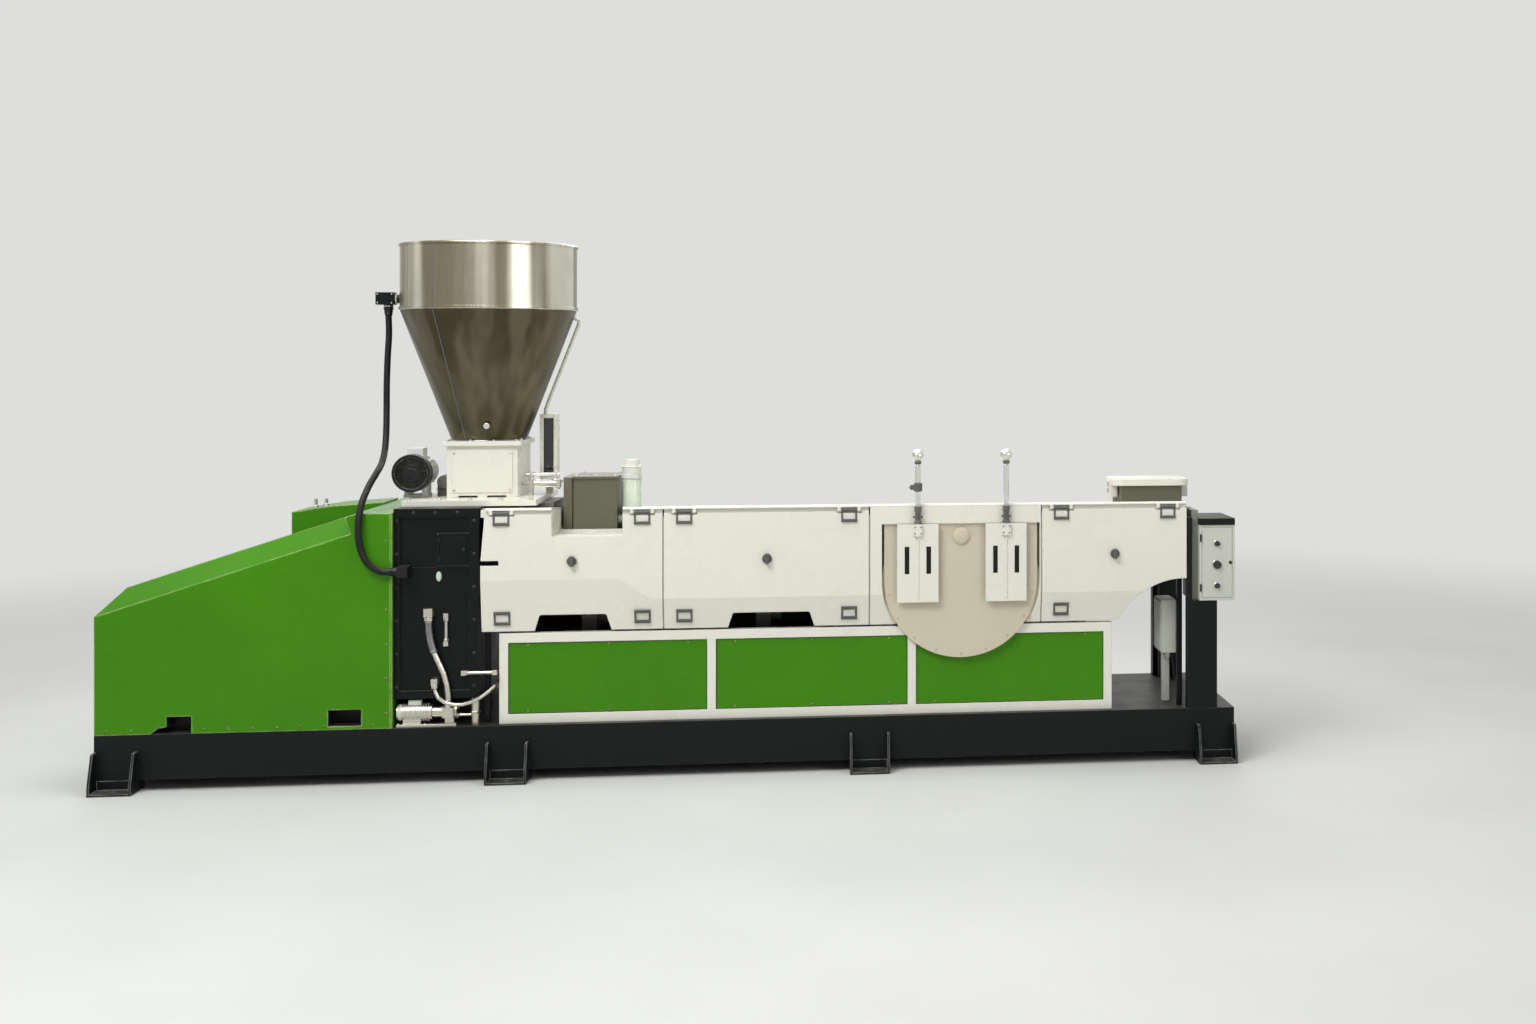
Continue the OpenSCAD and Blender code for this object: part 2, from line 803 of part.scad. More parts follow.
// Gearbox of the feeder with the round housing of its worm
module feeder_gear() {
    x0 = feeder_x + feeder_r;
    x1 = hopper_x - feed_box_w / 2;
    color([0.3, 0.3, 0.29]) {
        block(x0, x1, feeder_gear_y - 65, feeder_gear_y + 65, plate_z1, plate_z1 + 60);
        bar_y((x0 + x1) / 2, feeder_gear_y - 80, feeder_gear_y + 80, plate_z1 + 78, (x1 - x0) / 2 - 1);
    }
}

gate_z = plate_z1 + 63;
gate_l = 165;
gate_r = 20;

// Cylinder that pushes the slide gate of the feed box
module gate_cylinder() {
    x0 = hopper_x + feed_box_w / 2;
    color([0.78, 0.78, 0.75]) {
        bar_x(x0, x0 + 60, -60, gate_z, 8);
        bar_x(x0 + 40, x0 + 40 + gate_l, -60, gate_z, gate_r);
        for (x = [x0 + 40, x0 + 40 + gate_l - 22])
            block(x, x + 22, -60 - gate_r - 3, -60 + gate_r + 3, gate_z - gate_r - 3, gate_z + gate_r + 3);
        block(x0 + 44, x0 + 58, -80, -40, plate_z1, gate_z);
    }
}

gauge_x0 = hopper_x + feed_box_w / 2 + 80;
gauge_x1 = gauge_x0 + 95;
gauge_y0 = 20;
gauge_y1 = 110;
gauge_z0 = plate_z1 + 72;
gauge_z1 = plate_z1 + 440;
gauge_glass_w = 54;
gauge_rim = 22;
level_y = (gauge_y0 + gauge_y1) / 2;
level_r = 10;
level_off = 38;

function cone_side(z) = hopper_x + sqrt(pow(cone_r(z), 2) - pow(level_y, 2));

// Sight gauge on its post, with the level pipe that joins it to the top of the cone
module sight_gauge() {
    level_x = gauge_x0 + 24;
    level_z0 = gauge_z1 + 60;
    level_z1 = cone_z1 - 75;
    color([0.9, 0.9, 0.87]) {
        difference() {
            block(gauge_x0, gauge_x1, gauge_y0, gauge_y1, gauge_z0, gauge_z1);
            both_gauge_faces()
                block((gauge_x0 + gauge_x1 - gauge_glass_w) / 2, (gauge_x0 + gauge_x1 + gauge_glass_w) / 2,
                    gauge_y0 - 1, gauge_y0 + 8, gauge_z0 + gauge_rim, gauge_z1 - gauge_rim);
        }
        block(gauge_x0 - 10, gauge_x1 + 20, gauge_y0 - 10, gauge_y1 + 10, gauge_z0 - 14, gauge_z0);
        block(gauge_x0 + 30, gauge_x1 - 30, gauge_y0 + 25, gauge_y1 - 25, plate_z1, gauge_z0);
        tube([
            [level_x, level_y, gauge_z1 - 2],
            [level_x, level_y, gauge_z1 + 20],
            for (i = [0:4])
                let (z = level_z0 + i * (level_z1 - level_z0) / 4)
                    [cone_side(z) + level_off, level_y, z],
            [cone_side(level_z1 + 22) + 30, level_y, level_z1 + 22],
            [cone_side(level_z1 + 28) + 14, level_y, level_z1 + 28],
            [cone_side(level_z1 + 32) + 3, level_y, level_z1 + 32]
        ], level_r);
    }
}

module both_gauge_faces() {
    children();
    translate([0, level_y, 0])
        mirror([0, 1, 0])
            translate([0, -level_y, 0])
                children();
}

// Barrel

barrel_x0 = gear_x1 + feed_l;
filter_body_l = 520;
filter_body_x0 = bay_x - filter_body_l / 2;
barrel_x1 = filter_body_x0;
heater_step = (barrel_x1 - barrel_x0 - 40) / heater_n;

module barrel() {
    color([0.4, 0.4, 0.42])
        bar_x(barrel_x0, barrel_x1, 0, axis_z, barrel_r);
}

clamp_w = 24;
clamp_out = 22;
terminal_w = 70;
terminal_out = 45;

// Each band with its clamp in front and its terminal box behind
module heater_band() {
    difference() {
        union() {
            cylinder(r = heater_r, h = heater_l);
            for (z = [heater_l * 0.2, heater_l * 0.8 - clamp_w])
                translate([-12, -heater_r - clamp_out, z])
                    cube([24, clamp_out + 10, clamp_w]);
            translate([-terminal_w / 2, heater_r - 10, heater_l / 2 - terminal_w])
                cube([terminal_w, terminal_out + 10, 2 * terminal_w]);
        }
        translate([0, 0, -1])
            cylinder(r = barrel_r, h = heater_l + 2);
    }
}

module heater_bands() {
    color([0.72, 0.7, 0.66])
        for (i = [0:heater_n - 1])
            translate([barrel_x0 + 20 + (i + 0.5) * heater_step - heater_l / 2, 0, axis_z])
                rotate([0, 90, 0])
                    heater_band();
}

blower_top = axis_z - heater_r;

scroll_r = 95;
scroll_w = 80;
scroll_lift = 6;
fan_motor_r = 42;
duct_w = 120;
duct_half = 75;

// Each blower is a scroll with its motor beside it and a duct up to its heater band
module blower(x) {
    scroll_z = tray_z1 + scroll_r + scroll_lift;
    bar_x(x - scroll_w / 2, x + scroll_w / 2, 0, scroll_z, scroll_r);
    bar_x(x + scroll_w / 2 - 1, x + scroll_w / 2 + 55, 0, scroll_z, fan_motor_r);
    block(x - duct_w / 2, x + duct_w / 2, -duct_half, duct_half, scroll_z + scroll_r / 2, blower_top);
    block(x - scroll_w / 2 + scroll_lift, x + scroll_w / 2 - scroll_lift, -60, 60, tray_z1, tray_z1 + 30);
}

module blowers() {
    color([0.55, 0.56, 0.55])
        for (i = [0:heater_n - 1])
            blower(barrel_x0 + 20 + (i + 0.5) * heater_step);
}

support_w = 60;
support_half = 260;
support_neck = 150;
support_head = 60;

module barrel_support(x, w, top) {
    profile_yz(x, x + w)
        polygon([
            [-support_half, base_top],
            [support_half, base_top],
            [support_neck, top - support_head],
            [support_neck, top],
            [-support_neck, top],
            [-support_neck, top - support_head]
        ]);
}

tray_z1 = blower_top - 260;
tray_t = 10;
tray_half = 240;
gear_foot_in = 160;
feed_foot_in = 60;

// Legs under the gearbox, feed casting, filter and melt pipe, and the table that carries the blowers
module barrel_supports() {
    color([0.15, 0.16, 0.16]) {
        block(gear_x0 + 30, gear_x1 - 30, -gear_w / 2 + gear_foot_in, gear_w / 2 - gear_foot_in,
            base_top, gear_bottom);
        barrel_support(gear_x1 + feed_foot_in, feed_l - 2 * feed_foot_in, feed_z0);
        barrel_support(filter_x1 + 60, support_w, axis_z - melt_r);
        barrel_support(filter_body_x0 + 100, filter_body_l - 200, filter_z0);
        block(barrel_x0, barrel_x1, -tray_half, tray_half, tray_z1 - tray_t, tray_z1);
        for (x = [barrel_x0, (barrel_x0 + barrel_x1) / 2, barrel_x1 - 60])
            for (y = [-tray_half, tray_half - 60])
                block(x, x + 60, y, y + 60, base_top, tray_z1 - tray_t + eps);
    }
}

// Guard round the barrel

lip = 8;
roof_rise = roof_fall / (2 * guard_half - 2 * lip);
function roof_z(y) = guard_top - roof_rise * (y + guard_half - lip);

notch_d = 660;
taper_d = 60;

module guard_roof() {
    rear_lip_z = roof_z(guard_half) - 30;
    color([0.91, 0.9, 0.85])
        difference() {
            profile_yz(guard_x0, guard_x1)
                polygon([
                    [-guard_half, lip_z],
                    [-guard_half, guard_top - lip],
                    [-guard_half + lip, guard_top],
                    [guard_half - lip, roof_z(guard_half - lip)],
                    [guard_half, roof_z(guard_half - lip) - lip],
                    [guard_half, rear_lip_z],
                    [guard_half - sheet, rear_lip_z],
                    [guard_half - sheet, roof_z(guard_half - sheet) - sheet],
                    [-guard_half + sheet, roof_z(-guard_half + sheet) - sheet],
                    [-guard_half + sheet, lip_z]
                ]);
            block(notch_x0, notch_x0 + notch_w, -guard_half - 1, -guard_half + notch_d, 0, 2 * guard_top);
            block(guard_x0 - 1, barrel_x0 + 10, -feed_w / 2 - 10, feed_w / 2 + 10, 0, 2 * guard_top);
            bar_z(trap_x, trap_y, 0, 2 * guard_top, trap_r + 6);
            block(guard_x0 - 1, guard_x0 + corner_taper, -guard_half - 1, -guard_half + taper_d, 0, 2 * guard_top);
        }
    color([0.91, 0.9, 0.85])
        hinge_pins();
}

post_xs = [guard_x0 + 20, door_1_x1, door_2_x1 + 20, filter_x1 - 20, guard_x1 - 20];
post_half = 14;
post_y1 = post_y0 + 28;

module guard_posts() {
    color([0.2, 0.21, 0.2])
        for (x = post_xs)
            profile_yz(x - post_half, x + post_half)
                polygon([
                    [post_y0, base_top],
                    [post_y1, base_top],
                    [post_y1, roof_z(post_y1) - sheet],
                    [post_y0, roof_z(post_y0) - sheet]
                ]);
}

// Doors hang from pins under the roof's lip

door_x0s = [guard_x0, door_1_x1 + door_gap / 2, filter_x1 + door_gap / 2];
door_x1s = [door_1_x1 - door_gap / 2, door_2_x1 - door_gap / 2, guard_x1];
hinge_l = 84;
hinge_in = 63;
lug_l = 18;
lug_gap = 2;

function hinge_xs(i) = [door_x0s[i] + hinge_in, door_x1s[i] - hinge_in - hinge_l];

module hinge_pins() {
    for (i = [0:2])
        for (x = hinge_xs(i)) {
            bar_x(x - lug_gap - lug_l, x + hinge_l + lug_gap + lug_l, hinge_y, hinge_z, hinge_pin_r);
            for (x2 = [x - lug_gap - lug_l, x + hinge_l + lug_gap])
                block(x2, x2 + lug_l, hinge_y - 7, hinge_y + 7, hinge_z - 6, lip_z + 2);
        }
}

return_top = door_top - 18;
fold_steps = 8;
fold_x1 = door_1_x1 - 29;
fold_x0 = fold_x1 - fold_ease;
taper_z0 = guard_top - 290;

// Height of the first door's fold at x: level, then eased down to the height of the others
function fold_1_at(x) =
    x <= fold_x0 ? fold_1_z :
    x >= fold_x1 ? fold_2_z :
    fold_2_z + (fold_1_z - fold_2_z) * (1 + cos(180 * (x - fold_x0) / fold_ease)) / 2;

function taper_at(z) = corner_taper * max(z - taper_z0, 0) / (guard_top - taper_z0);

// Cross section of a door's sheet
function door_section(fold_z) = [
    [-guard_half, door_top],
    [-guard_half, fold_z],
    [-guard_half + lean_in, door_bottom],
    [-guard_half + lean_in + sheet, door_bottom],
    [-guard_half + sheet, fold_z + sheet],
    [-guard_half + sheet, door_top]
];

module hinge_cuts(i) {
    for (x = hinge_xs(i))
        block(x - lug_gap - lug_l - 6, x + hinge_l + lug_gap + lug_l + 6,
            -guard_half - 1, -guard_half + sheet + 1, hinge_z - 16, hinge_z + 1);
}

edge_round = 0.5;
root = sheet / 2;

// Sheet edge turned inwards along a door's side, rooted in the middle of the door's sheet
module door_return(x, fold_z, top) {
    profile_yz(x, x + sheet)
        polygon([
            [-guard_half + root, top],
            [-guard_half + root, fold_z],
            [-guard_half + lean_in + root, door_bottom + edge_round],
            [-guard_half + lean_in + return_d, door_bottom + edge_round],
            [-guard_half + return_d, fold_z],
            [-guard_half + return_d, top]
        ]);
}

// Sheet and turned edges of a door whose fold runs level
module level_door(i) {
    profile_yz(door_x0s[i], door_x1s[i])
        polygon(door_section(fold_2_z));
    for (x = [door_x0s[i] + edge_round, door_x1s[i] - sheet - edge_round])
        door_return(x, fold_2_z, return_top);
}

leaf_t = 3;
fitting_pitch = 56;
fitting_bar = 16;
fitting_t = 9;
strap_w = 10;
handle_r = 24;
handle_out = 30;
handle_z = 1140;
grip_w = 18;
grip_h = 54;
latch_z = 842;

// Hinge: a knuckle and a lower bar, joined by two straps, so that the door shows between them
module hinge(x) {
    lower_z = hinge_z - fitting_pitch;
    difference() {
        union() {
            bar_x(x, x + hinge_l, hinge_y, hinge_z, knuckle_r);
            block(x, x + hinge_l, -guard_half - fitting_t, -guard_half,
                lower_z - fitting_bar / 2, lower_z + fitting_bar / 2);
            for (x2 = [x, x + hinge_l - strap_w])
                block(x2, x2 + strap_w, -guard_half - leaf_t, -guard_half, lower_z, hinge_z);
        }
        bar_x(x - 1, x + hinge_l + 1, hinge_y, hinge_z, hinge_pin_r + 0.06);
    }
}

// Latch of two bars and two straps on the leaning part of a door
module latch(x, fold_z) {
    lean_h = fold_z - door_bottom;
    half = (fitting_pitch + fitting_bar) / 2;
    translate([x, -guard_half + lean_in * (fold_z - latch_z) / lean_h, latch_z])
        rotate([atan2(lean_in, lean_h), 0, 0])
            difference() {
                block(-hinge_l / 2, hinge_l / 2, -fitting_t, -fitting_seat, -half, half);
                block(-hinge_l / 2 + strap_w, hinge_l / 2 - strap_w, -fitting_t - 1, 1,
                    fitting_bar - half, half - fitting_bar);
                block(-hinge_l, hinge_l, -fitting_t - 1, -leaf_t, fitting_bar - half, half - fitting_bar);
            }
}

fitting_seat = 0.05;

// Two hinges, two latches and a turn handle on the outside of a door
module door_fittings(i, latch_folds) {
    x_mid = (door_x0s[i] + door_x1s[i]) / 2;
    color([0.2, 0.2, 0.2]) {
        for (x = hinge_xs(i))
            hinge(x);
        for (side = [0, 1])
            if (latch_folds[side] > 0)
                latch(hinge_xs(i)[side] + hinge_l / 2, latch_folds[side]);
        bar_y(x_mid, -guard_half - fitting_t, -guard_half, handle_z, handle_r);
        block(x_mid - grip_w / 2, x_mid + grip_w / 2, -guard_half - handle_out, -guard_half - fitting_t + 1,
            handle_z - grip_h / 2, handle_z + grip_h / 2);
    }
}

vent_corner_r = 16;
vent_slant = 22;

// Vent cut-out in a door's lower edge, with slanting sides and round upper corners
module door_vent(x0, w, z) {
    x1 = x0 + w;
    plate_xz(-guard_half - 1, -guard_half + lean_in + return_d + sheet) {
        polygon([
            [x0, door_bottom - 1],
            [x1, door_bottom - 1],
            [x1 - vent_slant, z - vent_corner_r],
            [x0 + vent_slant, z - vent_corner_r]
        ]);
        for (x = [x0 + vent_slant + vent_corner_r, x1 - vent_slant - vent_corner_r])
            translate([x, z - vent_corner_r])
                circle(r = vent_corner_r);
        translate([x0 + vent_slant + vent_corner_r, z - vent_corner_r - 1])
            square([w - 2 * (vent_slant + vent_corner_r), vent_corner_r + 1]);
    }
}

door_trim = 20;
edge_slot_h = 25;
edge_slot_z = taper_z0 - 9;

// First door: its fold drops at one end, and its upper corner tapers in beside the gearbox
module guard_door_1() {
    x0 = door_x0s[0];
    x1 = door_x1s[0];
    fold_xs = [for (i = [0:fold_steps]) fold_x0 + i * fold_ease / fold_steps];
    color([0.9, 0.89, 0.84])
        difference() {
            union() {
                skin([for (x = concat([x0 - door_trim], fold_xs, [x1]))
                    [for (p = door_section(fold_1_at(x))) [x, p[0], p[1]]]]);
                door_return(x0 + edge_round, fold_1_z, taper_z0);
                door_return(x1 - sheet - edge_round, fold_2_z, return_top);
                plate_xz(-guard_half + root, -guard_half + return_d - edge_round)
                    translate([x0 + edge_round, taper_z0 - 1])
                        polygon([
                            [0, 0],
                            [sheet, 0],
                            [sheet + taper_at(return_top), return_top - taper_z0 + 1],
                            [taper_at(return_top), return_top - taper_z0 + 1]
                        ]);
            }
            hinge_cuts(0);
            plate_xz(-guard_half - 1, -guard_half + lean_in + return_d + sheet)
                polygon([
                    [x0 - 2 * door_trim, 0],
                    [x0, 0],
                    [x0, taper_z0],
                    [x0 + taper_at(guard_top), guard_top],
                    [x0 - 2 * door_trim, guard_top]
                ]);
            block(x0 - 2 * door_trim, x0 + edge_slot_l, -guard_half - 1, -guard_half + return_d + 1,
                edge_slot_z, edge_slot_z + edge_slot_h);
            block(notch_x0, notch_x0 + notch_w, -guard_half - 1, 0, guard_top - notch_h, guard_top + 1);
            door_vent(x0 + 269, 395, frame_top + 95);
        }
}

module guard_door_2() {
    color([0.9, 0.89, 0.84])
        difference() {
            level_door(1);
            hinge_cuts(1);
            door_vent(door_x0s[1] + 331, 456, frame_top + 90);
        }
}

module guard_door_3() {
    color([0.9, 0.89, 0.84])
        difference() {
            level_door(2);
            hinge_cuts(2);
            bar_y(guard_x1 - 10, -guard_half - 1, 0, arch_z, arch_r);
        }
}

module door_fittings_1() {
    door_fittings(0, [fold_1_z, fold_1_at(hinge_xs(0)[1] + hinge_l)]);
}

module door_fittings_2() {
    door_fittings(1, [fold_2_z, fold_2_z]);
}

// The arch leaves no room for a latch at the outlet end
module door_fittings_3() {
    door_fittings(2, [fold_2_z, 0]);
}

module rear_guard() {
    color([0.88, 0.87, 0.82])
        difference() {
            profile_yz(guard_x0, guard_x1)
                polygon([
                    [guard_half, roof_z(guard_half) - 30],
                    [guard_half, fold_2_z],
                    [guard_half - lean_in, frame_top],
                    [guard_half - lean_in - sheet, frame_top],
                    [guard_half - sheet, fold_2_z + sheet],
                    [guard_half - sheet, roof_z(guard_half) - 30]
                ]);
            bar_y(guard_x1 - 10, 0, guard_half + 1, arch_z, arch_r);
        }
}

// White frames with green panels

panel_posts = [frame_x0 + panel_1_l, frame_x0 + panel_1_l + panel_2_l];
panel_x0s = [frame_x0 + frame_post, panel_posts[0] + frame_post, panel_posts[1] + frame_post];
panel_x1s = [panel_posts[0], panel_posts[1], frame_x1 - frame_post];
panel_z0 = base_top + frame_rail;
panel_z1 = frame_top - frame_rail;

module side_frame() {
    color([0.91, 0.9, 0.85])
        plate_xz(face_low_y, face_low_y + frame_d)
            difference() {
                translate([frame_x0, base_top])
                    square([frame_x1 - frame_x0, frame_top - base_top]);
                for (i = [0:2])
                    translate([panel_x0s[i], panel_z0])
                        square([panel_x1s[i] - panel_x0s[i], panel_z1 - panel_z0]);
            }
}

module side_frames() {
    both_sides()
        side_frame();
}

module side_panel(i) {
    color([0.26, 0.52, 0.0])
        block(panel_x0s[i], panel_x1s[i], face_low_y + panel_set, face_low_y + panel_set + panel_t,
            panel_z0, panel_z1);
}

module front_panels() {
    for (i = [0:2])
        side_panel(i);
}

module rear_panels() {
    mirror([0, 1, 0])
        for (i = [0:2])
            side_panel(i);
}

// Filter bay

filter_z0 = axis_z - 260;
filter_half = 300;
filter_body_h = 420;
cover_y0 = -guard_half + cover_set;
cover_y1 = cover_y0 + cover_t;
spigot_r = 150;

// Body of the melt filter with the round spigot that carries its cover
module filter_body() {
    color([0.5, 0.5, 0.5]) {
        block(filter_body_x0, filter_body_x0 + filter_body_l, -filter_half, filter_half, filter_z0, filter_z0 + filter_body_h);
        bar_y(bay_x, cover_y1, -filter_half, axis_z, spigot_r);
    }
}

bay_gap = 12;
bay_depth = 30;

// Round below and square above, as wide as twice r
module bay_outline(r) {
    intersection() {
        translate([bay_x, cover_z])
            circle(r = r, $fn = 96);
        translate([bay_x - r, cover_z - r])
            square([2 * r, r + 1]);
    }
    translate([bay_x - r, cover_z])
        square([2 * r, bay_top - cover_z]);
}

// Folded surround of the filter bay
module filter_frame() {
    color([0.91, 0.9, 0.85])
        difference() {
            profile_yz(door_2_x1 + door_gap / 2, filter_x1 - door_gap / 2)
                polygon([
                    [-guard_half, lip_z],
                    [-guard_half, fold_2_z],
                    [face_low_y, door_bottom],
                    [face_low_y + bay_depth, door_bottom],
                    [-guard_half + bay_depth, fold_2_z],
                    [-guard_half + bay_depth, lip_z]
                ]);
            plate_xz(-guard_half - 1, 0)
                bay_outline(cover_r + bay_gap);
        }
}

knob_r = 44;
knob_t = 8;
knob_z = bay_top - 66;

module filter_cover() {
    color([0.8, 0.77, 0.7]) {
        plate_xz(cover_y0, cover_y1)
            bay_outline(cover_r);
        bar_y(bay_x, cover_y0 - knob_t, cover_y0 + 1, knob_z, knob_r);
    }
}

slide_xs = [bay_x - 234, bay_x - 234 + slide_pitch];
slide_y1 = -guard_half - slide_gap;
slide_y0 = slide_y1 - slide_t;
rod_y = slide_y0;
slot_z0 = bay_top - 267;
slot_off = 58;
stud_r = 8;
rib_w = 12;
rib_t = 3;
clamp_half = 24;
clamp_h = 64;

// Studs in the slots of the slide plates
module guide_studs() {
    color([0.2, 0.2, 0.2])
        for (x = slide_xs)
            for (side = [-1, 1])
                bar_y(x + side * slot_off, slide_y0 - 3, cover_y0, slot_z0 + slot_l - slot_w / 2 - 4, stud_r);
}

// Plate with two slots, a rib down its middle, and its lifting rod in a clamp at the top
module slide_plate(x) {
    color([0.93, 0.92, 0.88]) {
        difference() {
            union() {
                block(x - slide_w / 2, x + slide_w / 2, slide_y0, slide_y1, bay_top - slide_h, bay_top);
                block(x - rib_w / 2, x + rib_w / 2, slide_y0 - rib_t, slide_y0 + 1,
                    bay_top - slide_h + 20, bay_top - clamp_h + 1);
            }
            for (side = [-1, 1])
                plate_xz(slide_y0 - 1, slide_y1 + 1)
                    translate([x + side * slot_off - slot_w / 2, slot_z0])
                        square([slot_w, slot_l]);
        }
        block(x - clamp_half, x + clamp_half, rod_y - rod_r - 3, slide_y0 + 1, bay_top - clamp_h, bay_top);
        bar_z(x, rod_y, bay_top - clamp_h, ball_z, rod_r);
        bar_z(x, rod_y, ball_z - ball_r - 12, ball_z, rod_r + 5);
        translate([x, rod_y, ball_z])
            sphere(r = ball_r);
    }
}

module slide_plate_left() {
    slide_plate(slide_xs[0]);
}

module slide_plate_right() {
    slide_plate(slide_xs[1]);
}

// Vent on the barrel

vent_w = 230;
trap_off = 185;
trap_x = vent_x + trap_off;
trap_y = -120;
trap_r = 52;
trap_cap_r = 40;
trap_z0 = 1240;
trap_z1 = 1605;
trap_cap_h = 42;
vent_top = 1560;
vent_lid_t = 12;

module vent_box() {
    color([0.38, 0.37, 0.3]) {
        block(vent_x - vent_w / 2, vent_x + vent_w / 2, -200, 120, axis_z + heater_r, vent_top - vent_lid_t);
        block(vent_x - vent_w / 2 - 8, vent_x + vent_w / 2 + 8, -208, 128, vent_top - vent_lid_t, vent_top);
    }
}

// Vapour trap: a round body with a cap, and its pipe from the vent box
module vent_trap() {
    color([0.85, 0.87, 0.82]) {
        bar_z(trap_x, trap_y, trap_z0, trap_z1, trap_r);
        bar_z(trap_x, trap_y, trap_z1 - 1, trap_z1 + trap_cap_h, trap_cap_r);
        bar_z(trap_x, trap_y, trap_z0 - 8, trap_z0 + 16, trap_r + 5);
        bar_z(trap_x, trap_y, trap_z1 - 60, trap_z1 - 40, trap_r + 5);
        bar_x(vent_x + vent_w / 2, trap_x, trap_y, trap_z0 + 80, 24);
    }
}

// Outlet end

melt_x0 = filter_body_x0 + filter_body_l;
outlet_x1 = guard_x1 + outlet_l;

module melt_pipe() {
    color([0.55, 0.55, 0.56])
        difference() {
            bar_x(melt_x0, outlet_x1 - outlet_flange_t, 0, axis_z, melt_r);
            bar_x(melt_x0 - 1, outlet_x1 + 1, 0, axis_z, melt_bore_r - 10);
        }
}

module outlet_flange() {
    color([0.6, 0.6, 0.62])
        difference() {
            bar_x(outlet_x1 - outlet_flange_t, outlet_x1, 0, axis_z, outlet_flange_r);
            bar_x(outlet_x1 - outlet_flange_t - 1, outlet_x1 + 1, 0, axis_z, melt_bore_r);
            for (i = [0:outlet_holes - 1])
                bar_x(outlet_x1 - outlet_flange_t - 1, outlet_x1 + 1,
                    outlet_pcr * cos(i * 360 / outlet_holes),
                    axis_z + outlet_pcr * sin(i * 360 / outlet_holes), outlet_hole_r);
        }
}

end_post_x0 = guard_x1 + 30;

// Posts at the outlet end with their gussets, and the rain cover on the control box
module end_posts() {
    color([0.13, 0.14, 0.15]) {
        both_sides() {
            block(end_post_x0, end_post_x0 + post_w, -base_w / 2, -base_w / 2 + post_w, base_top, control_z);
            block(guard_x1 + 6, end_post_x0 + 1, -base_w / 2, -base_w / 2 + 60, base_top, guard_top - 90);
            profile_yz(end_post_x0 + post_w / 2 - 6, end_post_x0 + post_w / 2 + 6)
                polygon([
                    [-base_w / 2 + post_w - 1, base_top],
                    [-base_w / 2 + post_w + 110, base_top],
                    [-base_w / 2 + post_w - 1, base_top + 170]
                ]);
        }
        block(control_x1 - control_w, control_x1, control_y0 - control_lip, control_y0 + control_d,
            control_z + control_h, control_z + control_h + cover_h);
    }
}

cover_h = 36;

control_x1 = end_post_x0 + post_w + 95;
control_y0 = -base_w / 2 - 15;

button_big_r = 22;
button_r = 14;
button_out = 14;
button_pitch = 115;
button_z0 = control_z + 80;
control_lip = 6;
control_seam_in = 12;
control_seam_t = 3;

// Control box with the seam of its lid
module control_box() {
    x0 = control_x1 - control_w;
    z1 = control_z + control_h;
    color([0.8, 0.81, 0.76])
        difference() {
            block(x0, control_x1, control_y0, control_y0 + control_d, control_z, z1);
            plate_xz(control_y0 - 1, control_y0 + control_seam_t)
                difference() {
                    translate([x0 + control_seam_in, control_z + control_seam_in])
                        square([control_w - 2 * control_seam_in, control_h - 2 * control_seam_in]);
                    translate([x0 + control_seam_in + control_seam_t, control_z + control_seam_in + control_seam_t])
                        square([control_w - 2 * (control_seam_in + control_seam_t),
                            control_h - 2 * (control_seam_in + control_seam_t)]);
                }
        }
}

// Three buttons, the middle one larger
module control_buttons() {
    color([0.1, 0.1, 0.1])
        for (i = [0:2])
            bar_y(control_x1 - control_w / 2, control_y0 - button_out, control_y0,
                button_z0 + i * button_pitch, i == 1 ? button_big_r : button_r);
}

column_w = 36;
column_d = 230;
column_top = 1369;

// Upright beside the control box that carries it on the end post
module control_column() {
    x1 = control_x1 - control_w;
    color([0.42, 0.43, 0.38])
        block(x1 - column_w, x1, control_y0 + 40, control_y0 + 40 + column_d, control_z, column_top);
}

cap_y0 = -440;
cap_y1 = -130;
cap_top = guard_top + 80;
cap_l = 340;
cap_lid_t = 34;
cap_lid_over = 42;
cap_lid_r = 60;
cap_seat = 0.05;
cap_x1 = guard_x1 - 5;
cap_lug_l = 42;
cap_lug_h = 68;

// Cowl on the roof that rises from its slope
module cap_box() {
    color([0.35, 0.36, 0.31])
        profile_yz(cap_x1 - cap_l, cap_x1)
            polygon([
                [cap_y0 + 20, roof_z(cap_y0 + 20) + cap_seat],
                [cap_y1 - 20, roof_z(cap_y1 - 20) + cap_seat],
                [cap_y1 - 20, cap_top],
                [cap_y0 + 20, cap_top]
            ]);
}

// Lid of the cowl with round corners and a catch at each end
module cap_lid() {
    x0 = cap_x1 - cap_l - cap_lid_over;
    x1 = cap_x1 + cap_lid_over;
    y_mid = (cap_y0 + cap_y1) / 2;
    color([0.92, 0.91, 0.87]) {
        translate([0, 0, cap_top])
            linear_extrude(height = cap_lid_t) {
                translate([x0 + cap_lid_r, cap_y0])
                    square([x1 - x0 - 2 * cap_lid_r, cap_y1 - cap_y0]);
                translate([x0, cap_y0 + cap_lid_r])
                    square([x1 - x0, cap_y1 - cap_y0 - 2 * cap_lid_r]);
                for (x = [x0 + cap_lid_r, x1 - cap_lid_r])
                    for (y = [cap_y0 + cap_lid_r, cap_y1 - cap_lid_r])
                        translate([x, y])
                            circle(r = cap_lid_r);
            }
        for (x = [x0 - 6, x1 + 6 - cap_lug_l])
            block(x, x + cap_lug_l, y_mid - 60, y_mid + 60, cap_top - cap_lug_h, cap_top + cap_lid_t - 8);
    }
}

junction_x = guard_x1 - 110;
junction_y = -280;
junction_z = base_top + 281;
junction_t = 80;
junction_w = 200;
junction_h = 290;

